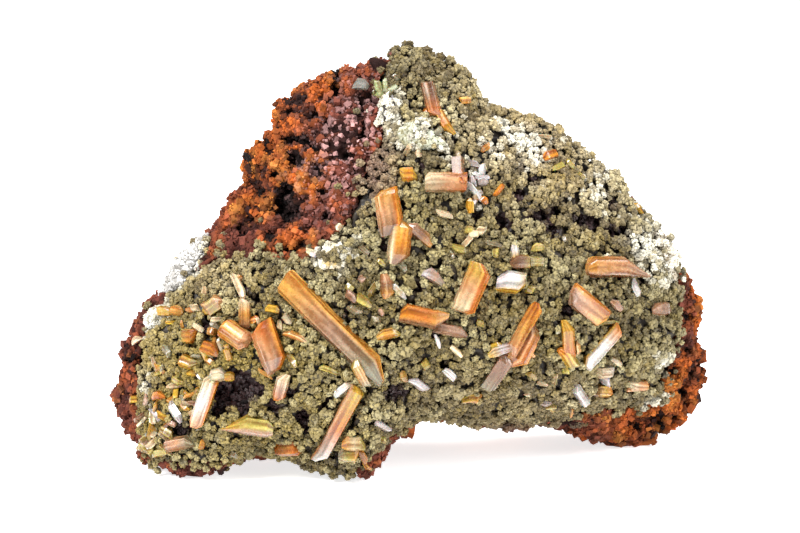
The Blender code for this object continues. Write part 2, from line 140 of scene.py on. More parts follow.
# %% Meshes from arrays
def mesh_piece(name, points, faces, material, replaced=(), tint=None, smooth=True):
    """A finished piece from an array of points in millimetres and an array of faces. It rides on
    the one body, and its colour is stored on its points."""
    mesh = bpy.data.meshes.new(name)
    mesh.vertices.add(len(points))
    mesh.vertices.foreach_set("co", (points * MM).astype(np.float32).ravel())
    mesh.loops.add(faces.size)
    mesh.loops.foreach_set("vertex_index", faces.astype(np.int32).ravel())
    mesh.polygons.add(len(faces))
    mesh.polygons.foreach_set("loop_start", np.arange(len(faces), dtype=np.int32) * faces.shape[1])
    mesh.update(calc_edges=True)
    mesh.validate()
    mesh.polygons.foreach_set("use_smooth", np.full(len(mesh.polygons), smooth))
    if tint is not None:
        colours = np.column_stack((np.clip(tint, 0, 1), np.ones(len(tint))))
        layer = mesh.attributes.new("tint", "FLOAT_COLOR", "POINT")
        layer.data.foreach_set("color", colours.astype(np.float32).ravel())
    made = bpy.data.objects.new(name, mesh)
    bpy.context.scene.collection.objects.link(made)
    mesh.materials.append(material)
    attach(made, "root")
    if replaced:
        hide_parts(*replaced)
    triangles = len(faces) * (faces.shape[1] - 2)
    print(f"{name}: {len(points)} points, {triangles} triangles")
    return made


def cad_surface(name):
    """A CAD node's points in millimetres and its triangles, with the doubled points merged."""
    mesh = bmesh.new()
    mesh.from_mesh(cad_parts[name].data)
    bmesh.ops.remove_doubles(mesh, verts=mesh.verts[:], dist=1e-6)
    mesh.verts.index_update()
    points = np.array([vertex.co for vertex in mesh.verts]) / MM
    faces = np.array([[vertex.index for vertex in face.verts] for face in mesh.faces])
    mesh.free()
    return points, faces


def search_tree(*names):
    """One search tree for the surfaces of several CAD nodes."""
    points = []
    faces = []
    count = 0
    for name in names:
        some_points, some_faces = cad_surface(name)
        points.append(some_points)
        faces.append(some_faces + count)
        count += len(some_points)
    return BVHTree.FromPolygons(np.concatenate(points).tolist(), np.concatenate(faces).tolist())


def distances(tree, points):
    """Distance from each point to a closed surface, less than zero inside it. A point is inside
    if the first face that it meets towards the viewer is met from behind."""
    away = np.array([tree.find_nearest(point)[3] for point in points.tolist()])
    ahead = Vector(NEAR)
    inside = np.zeros(len(points), bool)
    for index in np.flatnonzero(away < 3):
        normal = tree.ray_cast(points[index], ahead)[1]
        inside[index] = normal is not None and normal.dot(ahead) > 0
    return np.where(inside, -away, away)


def fine_copy(name, voxel):
    """Points, normals and quads of a CAD node's surface, remeshed evenly."""
    points, faces = cad_surface(name)
    mesh = bpy.data.meshes.new("fine")
    mesh.from_pydata((points * MM).tolist(), [], faces.tolist())
    fine = bpy.data.objects.new("fine", mesh)
    bpy.context.scene.collection.objects.link(fine)
    remesh = fine.modifiers.new("even", "REMESH")
    remesh.mode = "VOXEL"
    remesh.voxel_size = voxel * MM
    remeshed = fine.evaluated_get(bpy.context.evaluated_depsgraph_get()).to_mesh()
    places = np.empty(len(remeshed.vertices) * 3, np.float32)
    remeshed.vertices.foreach_get("co", places)
    normals = np.empty_like(places)
    remeshed.vertices.foreach_get("normal", normals)
    corners = np.empty(len(remeshed.loops), np.int32)
    remeshed.loops.foreach_get("vertex_index", corners)
    bpy.data.objects.remove(fine)
    return places.reshape(-1, 3) / MM, normals.reshape(-1, 3), corners.reshape(-1, 4)


calcite_lumps = [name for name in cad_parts
                 if name.startswith("calcite") and not name.endswith(("prism", "shard"))]
crystal_nodes = [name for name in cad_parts
                 if name not in calcite_lumps + ["limonite_matrix", "mimetite_crust"]]
rock_tree = search_tree("limonite_matrix")
crust_tree = search_tree("mimetite_crust")
ground_tree = search_tree("limonite_matrix", "mimetite_crust")
crystal_tree = search_tree(*crystal_nodes)
calcite_tree = search_tree(*calcite_lumps)
print("crystal nodes:", len(crystal_nodes))


def seen(tree, u, v):
    """The point of a surface that is seen at (u, v), or None."""
    found = tree.ray_cast(EYE, sight(u, v))[0]
    return None if found is None else np.array(found)


# %% Colour helpers
def linear(red, green, blue):
    """A colour that is named by its screen values from 0 to 255, as the linear values that the
    shaders work with."""
    screen = np.array((red, green, blue)) / 255
    return np.where(screen <= 0.04045, screen / 12.92, ((screen + 0.055) / 1.055) ** 2.4)


def blend(first, second, share):
    """Colours between two colours, by a share from 0 to 1 for each point."""
    share = np.clip(share, 0, 1)[:, None]
    return first * (1 - share) + second * share


def hill(places, middle, width, height=None, turn=0):
    """A soft spot: 1 at its middle, falling off as a bell, wider along the turned axis."""
    away = places - np.array(middle)
    angle = math.radians(turn)
    along = away @ np.array((math.cos(angle), math.sin(angle)))
    across = away @ np.array((-math.sin(angle), math.cos(angle)))
    return np.exp(-(along / width) ** 2 - (across / (height or width)) ** 2)


# %% Shader helpers
def add_node(material, kind, values=None, **settings):
    """A shader node with its settings, and its inputs set or linked."""
    tree = material.node_tree
    made = tree.nodes.new("ShaderNode" + kind)
    for key, value in settings.items():
        setattr(made, key, value)
    for key, value in (values or {}).items():
        if isinstance(value, bpy.types.NodeSocket):
            tree.links.new(value, made.inputs[key])
        else:
            made.inputs[key].default_value = value
    return made


def mineral(name, roughness, fine, fine_depth, bump, shade, ior=1.6, **sockets):
    """A mineral's material: the colour stored on its points, made lighter and darker by fine
    noise, a roughness that varies a little, and a fine bump."""
    material = bpy.data.materials.new(name)
    material.use_nodes = True
    shader = material.node_tree.nodes["Principled BSDF"]
    coordinates = add_node(material, "TexCoord").outputs["Object"]
    tint = add_node(material, "Attribute", attribute_name="tint").outputs["Color"]
    noise = add_node(material, "TexNoise", {"Vector": coordinates, "Scale": fine, "Detail": 4,
                                            "Roughness": 0.65}).outputs["Fac"]
    light = add_node(material, "MapRange", {"Value": noise, "From Min": 0.3, "From Max": 0.7,
                                            "To Min": 1 - shade, "To Max": 1 + shade})
    colour = add_node(material, "VectorMath", {0: tint, 1: light.outputs[0]},
                      operation="MULTIPLY")
    dull = add_node(material, "MapRange", {"Value": noise, "From Min": 0.3, "From Max": 0.7,
                                           "To Min": roughness[0], "To Max": roughness[1]})
    grain = add_node(material, "TexNoise", {"Vector": coordinates, "Scale": fine * 2.2,
                                            "Detail": 3}).outputs["Fac"]
    relief = add_node(material, "Bump", {"Height": grain, "Distance": fine_depth * MM,
                                         "Strength": bump}).outputs["Normal"]
    links = material.node_tree.links
    links.new(colour.outputs[0], shader.inputs["Base Color"])
    links.new(dull.outputs[0], shader.inputs["Roughness"])
    links.new(relief, shader.inputs["Normal"])
    shader.inputs["IOR"].default_value = ior
    for key, value in sockets.items():
        shader.inputs[key.replace("_", " ")].default_value = value
    return material


limonite = mineral("rusty_limonite", (0.8, 1.0), 1500, 0.25, 0.6, 0.35, ior=1.3)
mimetite = mineral("mimetite_druse", (0.4, 0.7), 2200, 0.10, 0.4, 0.22, ior=1.45)
calcite = mineral("sugary_calcite", (0.35, 0.6), 1600, 0.10, 0.4, 0.06)
wulfenite = mineral("wulfenite_glass", (0.15, 0.38), 1400, 0.05, 0.35, 0.16, ior=1.65,
                    Transmission_Weight=0.25, Subsurface_Weight=0.25, Subsurface_Scale=0.0006)
print("materials:", [material.name for material in (limonite, mimetite, calcite, wulfenite)])

# %% [markdown]
# ## The limonite rock
# The rock is a rusty, earthy mass with pits and small hollows, orange-brown outside and dark
# red in the broken part at the upper left. A rock isn't a surface of two parameters, so the CAD
# solid is remeshed evenly, and every point is moved along its normal by noise of several sizes.
# Hollows are pressed in where they are seen.

# %% Rock surface
# Hollows of the rusty rock: place (u, v), radius and depth in millimetres.
ROCK_HOLLOWS = (
    ((-16.9, 36.8), 1.3, 4.2), ((-16.6, 34.2), 1.5, 4.6), ((-17.4, 35.6), 1.0, 3.8),
    ((-15.8, 43.8), 0.9, 3.0), ((-14.4, 43.7), 0.9, 3.0), ((-16.8, 43.9), 0.6, 2.4),
    ((-15.4, 41.4), 1.3, 2.8), ((-9.9, 52.2), 0.8, 3.0), ((-9.9, 50.6), 0.8, 2.8),
    ((-12.4, 39.2), 1.0, 1.4), ((-21.9, 41.3), 0.8, 2.2), ((-20.2, 36.8), 0.8, 2.0),
    ((-8.4, 41.6), 0.8, 1.8), ((-12.8, 47.2), 0.8, 1.8), ((-18.6, 30.6), 0.8, 1.8),
    ((-6.2, 46.0), 0.7, 1.6), ((-11.4, 33.2), 0.8, 1.8), ((-23.0, 31.8), 0.7, 1.6),
    ((-14.4, 29.6), 0.8, 1.6), ((36.6, 9.6), 0.9, 1.8), ((33.8, 5.4), 0.8, 1.6),
    ((37.2, 15.4), 0.7, 1.4), ((-12.6, 42.6), 0.7, 2.0), ((-19.6, 43.4), 0.7, 1.8),
    ((-18.4, 39.2), 0.7, 1.8), ((-21.4, 33.0), 0.8, 1.8), ((-12.0, 36.6), 0.7, 1.8),
    ((35.4, 12.6), 0.8, 1.6), ((30.6, 5.0), 0.8, 1.6), ((37.8, 12.4), 0.7, 1.4),
    ((35.6, 6.4), 0.7, 1.4), ((37.0, 20.0), 0.7, 1.4), ((-37.8, 14.0), 0.7, 1.4),
)
# Hollows of the crust, painted dark inside as shade: place (u, v), radius and depth.
CRUST_HOLLOWS = (
    ((12.4, 32.6), 1.3, 2.4), ((17.6, 33.4), 1.2, 2.6), ((19.2, 31.8), 1.0, 2.4),
    ((19.8, 34.4), 0.9, 2.0), ((24.6, 32.4), 1.1, 2.4), ((22.6, 32.8), 0.9, 2.2),
    ((26.6, 31.6), 0.9, 2.0), ((21.2, 21.0), 1.1, 2.0), ((-25.0, 9.6), 1.6, 2.6),
    ((-22.6, 10.8), 1.5, 2.4), ((-20.4, 10.2), 1.2, 2.0), ((-25.6, 7.8), 1.3, 2.4),
    ((-22.6, 8.2), 1.2, 2.2), ((-30.8, 4.6), 1.2, 2.0), ((-14.4, 6.2), 1.1, 2.0),
    ((-13.8, 4.8), 0.8, 1.8), ((-22.8, 23.6), 1.0, 1.8), ((-20.8, 22.4), 0.8, 1.6),
    ((-2.4, 9.8), 0.9, 1.8), ((-16.4, 10.0), 0.9, 1.6), ((4.4, 13.6), 0.7, 1.6),
    ((14.6, 36.4), 0.9, 1.8), ((8.6, 33.6), 0.8, 1.6), ((16.6, 38.2), 0.8, 1.6),
    ((-27.6, 18.2), 0.8, 1.6), ((-3.2, 29.4), 0.8, 1.6), ((-11.6, 8.6), 0.8, 1.6),
    ((6.0, 30.2), 0.7, 1.4), ((27.4, 35.0), 0.7, 1.4), ((0.7, 23.7), 0.9, 1.8),
    ((1.4, 40.2), 0.7, 1.4), ((-1.4, 10.0), 0.8, 1.6), ((-24.0, 12.4), 0.9, 1.8),
    ((9.8, 35.6), 0.7, 1.6), ((28.6, 31.6), 0.8, 1.8), ((31.0, 24.8), 0.7, 1.4),
    ((-8.4, 20.8), 0.7, 1.4), ((-18.8, 7.8), 0.9, 1.8), ((4.0, 27.4), 0.7, 1.4),
)


def pressed(points, hollows, tree):
    """How deep each point is pressed in by the hollows. Each is a well along the line of sight,
    with steep walls: its depth falls off with the fourth power of the distance across."""
    depth = np.zeros(len(points))
    uneven = 1 + 0.45 * cloud(points, 1.6, 91, 2)
    for place, radius, deep in hollows:
        middle = seen(tree, *place)
        if middle is None:
            continue
        line = sight(*place)
        along = (points - middle) @ line
        across = np.linalg.norm(points - middle - np.outer(along, line), axis=1) / uneven
        well = deep * np.exp(-(across / radius) ** 4) * (np.abs(along) < deep + 3)
        depth = np.maximum(depth, well)
    return depth


points, normals, quads = fine_copy("limonite_matrix", 0.40)
hollow = pressed(points, ROCK_HOLLOWS, rock_tree)
boulders = cloud(points, 5.0, seed=3, octaves=2)
pebbles = 0.5 - nearest_seed(points + cloud(points, 1.5, 8)[:, None] * 0.4, 2.3, seed=5)
crumbs = cloud(points, 1.0, seed=11, octaves=2)
pits = np.clip(0.42 - nearest_seed(points, 2.6, seed=71), 0, 1) * 3.2
relief = 1.2 * boulders + 1.5 * pebbles + 0.75 * crumbs - 1.7 * pits
raised = points + normals * (relief - 0.2)[:, None]
raised = raised + np.outer(hollow, -NEAR)
standing = points[:, 2] < 0.35
raised[:, 2] = np.maximum(raised[:, 2], 0)
raised[standing, 2] = np.maximum(points[standing, 2], 0)
print("relief of the rock:", round(relief.min(), 2), "to", round(relief.max(), 2), "mm")

# %% Rock colours
RUST = linear(168, 84, 30)
OCHRE = linear(196, 128, 56)
MAROON_BROWN = linear(106, 56, 44)
# Dark rust: the rock's own dark spots, and also painted shade in pits and hollows.
DARK_RUST_AND_SHADE = linear(40, 18, 14)
BLUE_GREY = linear(122, 130, 146)

# Orange parts of the rusty rock: place, widths and turn.
ORANGE_PARTS = (
    ((-17.8, 47.4), 4.4, 3.2, 30), ((-20.4, 41.0), 3.6, 4.2, 0), ((-15.2, 39.4), 4.4, 4.0, 0),
    ((-20.0, 35.0), 3.4, 2.6, 0), ((-14.8, 30.2), 2.4, 1.6, 0), ((34.6, 7.6), 7.5, 7.0, 0),
    ((-11.5, 50.5), 5.0, 1.6, 25),
)


def rock_tint(points, relief, hollow):
    """Maroon brown, rusty orange in its parts, with ochre spots. Where it stands proud it is painted
    lighter and more ochre, a painted highlight, and in pits and hollows it is painted darker, a
    painted shade.
    """
    places = place_of(points)
    orange = np.zeros(len(points))
    for middle, width, height, turn in ORANGE_PARTS:
        orange = np.maximum(orange, hill(places, middle, width, height, turn))
    orange = np.where(points[:, 1] < 5, orange, 0.55 + cloud(points, 11, 21, 2))
    # Painted highlight: raised parts are pushed towards rust and ochre.
    tint = blend(MAROON_BROWN, RUST, orange * 1.3 + cloud(points, 3.2, 23) * 0.9 + relief * 0.15)
    ochre = orange * 0.7 + cloud(points, 2.2, 25) * 1.1 + relief * 0.3 - 0.45
    tint = blend(tint, OCHRE, ochre)
    # Painted shade where the relief is low, mixed with dark rust spots from noise.
    tint = blend(tint, DARK_RUST_AND_SHADE, 0.15 - relief * 1.1 + cloud(points, 2.6, 27) * 0.6)
    blue = hill(places, (-12.6, 39.4), 1.0, 0.7, -40) * (points[:, 1] < 5)
    tint = blend(tint, BLUE_GREY, blue * 0.9)
    # Painted shade: the hollows are painted nearly black, deeper ones darker.
    return blend(tint, DARK_RUST_AND_SHADE * 0.25, hollow * 0.75)


rock_points, rock_quads, rock_relief = raised, quads, relief
base_tint = rock_tint(points, relief, hollow) * 0.75
rock = mesh_piece("limonite_rock", rock_points, rock_quads, limonite,
                  ["limonite_matrix"], base_tint)

# %% [markdown]
# ## The wulfenite crystals
# Wulfenite grew over the druse as flat prisms and blades, honey orange to pinkish brown, with
# fine stripes along their length and bevelled or pointed ends. Each crystal is a six-sided
# outline carried along a straight middle line. The outline shrinks towards the ends, its corners
# are a little uneven, and low ridges run the length of every side. The middle line is found by
# meeting the crystal's own CAD solid along the lines of sight.

# %% Crystal tones
AMBER = linear(222, 142, 40)
ORANGE = linear(214, 128, 48)
PEACH = linear(218, 162, 112)
PINK_BROWN = linear(186, 148, 122)
HONEY = linear(222, 162, 74)
GOLD = linear(214, 172, 54)
OLIVE_GOLD = linear(186, 168, 84)
CREAM = linear(232, 212, 172)
WHITE_FACE = linear(238, 234, 228)
BROWN = linear(146, 106, 72)
GREY_GREEN = linear(154, 148, 118)
LILAC = linear(208, 198, 198)
GREY_FACE = linear(150, 147, 140)
PALE_GREEN = linear(160, 166, 112)
DEEP_AMBER = np.array((0.92, 0.56, 0.24))


def grow(start, end, width, thickness, tips, tones, edge=None, ends=(0.45, 0.35), slant=0.0):
    """One crystal: the places of its ends, its section and the length of its two tapers in
    millimetres, its tones from start to end, the tone of one edge with its side, which is partly
    the bevel's own colour and partly painted light and shade on it, how large the section is at
    each end, and how far the ends slant."""
    return {"start": np.array(start), "end": np.array(end), "width": width,
            "thickness": thickness, "tips": tips, "tones": tones, "edge": edge, "ends": ends,
            "slant": slant}


# %% Crystal surface
SIDE_POINTS = 8
LONG_STEPS = 26


def crystal_surface(start, end, data, seed):
    """Points, triangles and tints of one crystal. Round the section: six corners joined by
    straight sides, moved in and out by low ridges. Along the axis: the section goes from the
    first end's share up to 1 over the first taper and down over the last one, and a step or two
    make one side narrower. The ends are thinner than they are wide, as a chisel is."""
    random = np.random.default_rng(seed)
    axis = end - start
    length = np.linalg.norm(axis)
    axis = axis / length
    outward = EYE - start
    side = np.cross(axis, outward)
    side = side / np.linalg.norm(side)
    front = np.cross(side, axis)
    flat = random.uniform(0.55, 0.8, 2)
    corners = np.array(((1, 0), (flat[0], 1), (-flat[1], 1), (-1, 0), (-flat[0], -1),
                        (flat[1], -1)))
    corners += random.uniform(-0.06, 0.06, corners.shape)
    part = (np.arange(SIDE_POINTS) / SIDE_POINTS)[None, :, None]
    outline = (corners[:, None] * (1 - part) + np.roll(corners, -1, axis=0)[:, None] * part)
    outline = outline.reshape(-1, 2)
    around = len(outline)
    first, last = data["tips"]
    along = np.concatenate((np.linspace(0, first, 4)[:-1],
                            np.linspace(first, length - last, LONG_STEPS),
                            np.linspace(length - last, length, 4)[1:]))
    knots = (0, first, length - last, length)
    size = np.interp(along, knots, (data["ends"][0], 1, 1, data["ends"][1]))
    thin = np.interp(along, knots, (data["ends"][0] * 0.6, 1, 1, data["ends"][1] * 0.6))
    lean = np.where(along < length / 2, *random.choice((-0.9, 0.9, 0.5), 2)) * (1 - size)
    first_step, second_step = random.uniform(0.2, 0.9, 2) * length
    step_side = random.choice((-1, 1), 2)
    growth = (1 - 0.07 * (along > first_step)[:, None] * (outline[:, 0] * step_side[0] > 0.4)
              - 0.06 * (along < second_step)[:, None] * (outline[:, 0] * step_side[1] > 0.4))
    ridge = random.normal(0, 1, around)
    ridge = ridge * 0.8 + np.roll(ridge, 1) * 0.2
    drift = cloud(np.column_stack((np.tile(np.arange(around) * 1.7, len(along)),
                                   np.repeat(along * 0.35, around),
                                   np.full(around * len(along), seed * 3.1))), 2.0, 5, 2)
    drift = drift.reshape(len(along), around)
    swell = 1 + 0.018 * ridge[None] + 0.025 * drift
    x = (outline[None, :, 0] * size[:, None] * growth * swell + lean[:, None])
    x = x * data["width"] / 2
    y = outline[None, :, 1] * thin[:, None] * data["thickness"] / 2 * swell
    ramp = np.interp(along, (0, length), (-1, 1))
    cut = x * data["slant"] + y * random.uniform(-0.5, 0.5)
    z = along[:, None] + cut * np.abs(ramp)[:, None] ** 6
    grid = (start + side * x[..., None] + front * y[..., None] + axis * z[..., None])
    caps = np.stack((grid[0].mean(axis=0), grid[-1].mean(axis=0)))
    points = np.concatenate((grid.reshape(-1, 3), caps))
    row = np.arange(around)
    after = (row + 1) % around
    base = (np.arange(len(along) - 1) * around)[:, None]
    a, b = base + row, base + after
    c, d = a + around, b + around
    sides = np.concatenate((np.stack((a, b, d), -1).reshape(-1, 3),
                            np.stack((a, d, c), -1).reshape(-1, 3)))
    top = len(along) * around
    start_fan = np.column_stack((np.full(around, top), after, row))
    end_fan = np.column_stack((np.full(around, top + 1), row, after)) 
    end_fan[:, 1:] += (len(along) - 1) * around
    faces = np.concatenate((sides, start_fan, end_fan))
    share = np.clip(along / length, 0, 1)
    bands = np.array([data["tones"][i] for i in range(3)])
    tint = np.stack([np.interp(share, (0.08, 0.5, 0.92), bands[:, i]) for i in range(3)], -1)
    tint = np.repeat(tint[:, None], around, axis=1)
    # One bevel gets its own tone: partly its colour, partly painted light and shade, mostly lighter
    # on upper bevels and browner on lower ones.
    if data["edge"] is not None:
        tone, sign = data["edge"]
        near_edge = np.clip((outline[:, 0] * sign - 0.35) * 4, 0, 1)[None, :, None]
        tint = tint * (1 - near_edge) + tone * near_edge
    streak = 0.58 * np.exp(0.2 * ridge[None] + 0.9 * drift)
    pale = np.clip(ridge[None] - 1.3 + drift, 0, 1)[..., None] * 0.3
    vein = np.clip(0.3 - 2.2 * drift, 0, 0.85)[..., None] * (1 - tint[..., 2:])
    tint = np.clip(tint * streak[..., None], 0, 1) * (1 - pale) + WHITE_FACE * pale
    tint = tint * (1 - vein) + tint * DEEP_AMBER * vein
    tint = np.concatenate((tint.reshape(-1, 3), tint[0].mean(0)[None], tint[-1].mean(0)[None]))
    return points, faces, tint


def facing_out(points, faces):
    """The same triangles, turned round if the closed form they make has a negative volume."""
    a, b, c = (points[faces[:, corner]] for corner in range(3))
    volume = np.einsum("ij,ij->i", a, np.cross(b, c)).sum()
    return faces if volume > 0 else faces[:, ::-1]


def middle_line(tree, data):
    """The ends of a crystal's middle line. The CAD solid is met along the lines of sight between
    its two ends, a straight line is fitted to the distances by the middle of all slopes, and it
    is taken half the thickness further."""
    shares = np.linspace(0.15, 0.85, 15)
    reach = np.full(len(shares), np.nan)
    for index, share in enumerate(shares):
        place = data["start"] * (1 - share) + data["end"] * share
        found = tree.ray_cast(EYE, sight(*place))
        reach[index] = np.nan if found[0] is None else found[3]
    met = ~np.isnan(reach)
    shares, reach = shares[met], reach[met]
    first, second = np.triu_indices(len(shares), 1)
    slope = np.median((reach[second] - reach[first]) / (shares[second] - shares[first]))
    begin = np.median(reach - slope * shares) + data["thickness"] / 2
    return (EYE + sight(*data["start"]) * begin, EYE + sight(*data["end"]) * (begin + slope))


def joined(parts):
    """Several lots of points, triangles and tints as one."""
    count = np.cumsum([0] + [len(part[0]) for part in parts[:-1]])
    return (np.concatenate([part[0] for part in parts]),
            np.concatenate([part[1] + start for part, start in zip(parts, count)]),
            np.concatenate([part[2] for part in parts]))


def crisp(made, degrees=36):
    """Smooth shading with sharp edges where two faces meet at a larger angle."""
    made.data.set_sharp_from_angle(angle=math.radians(degrees))
    return made


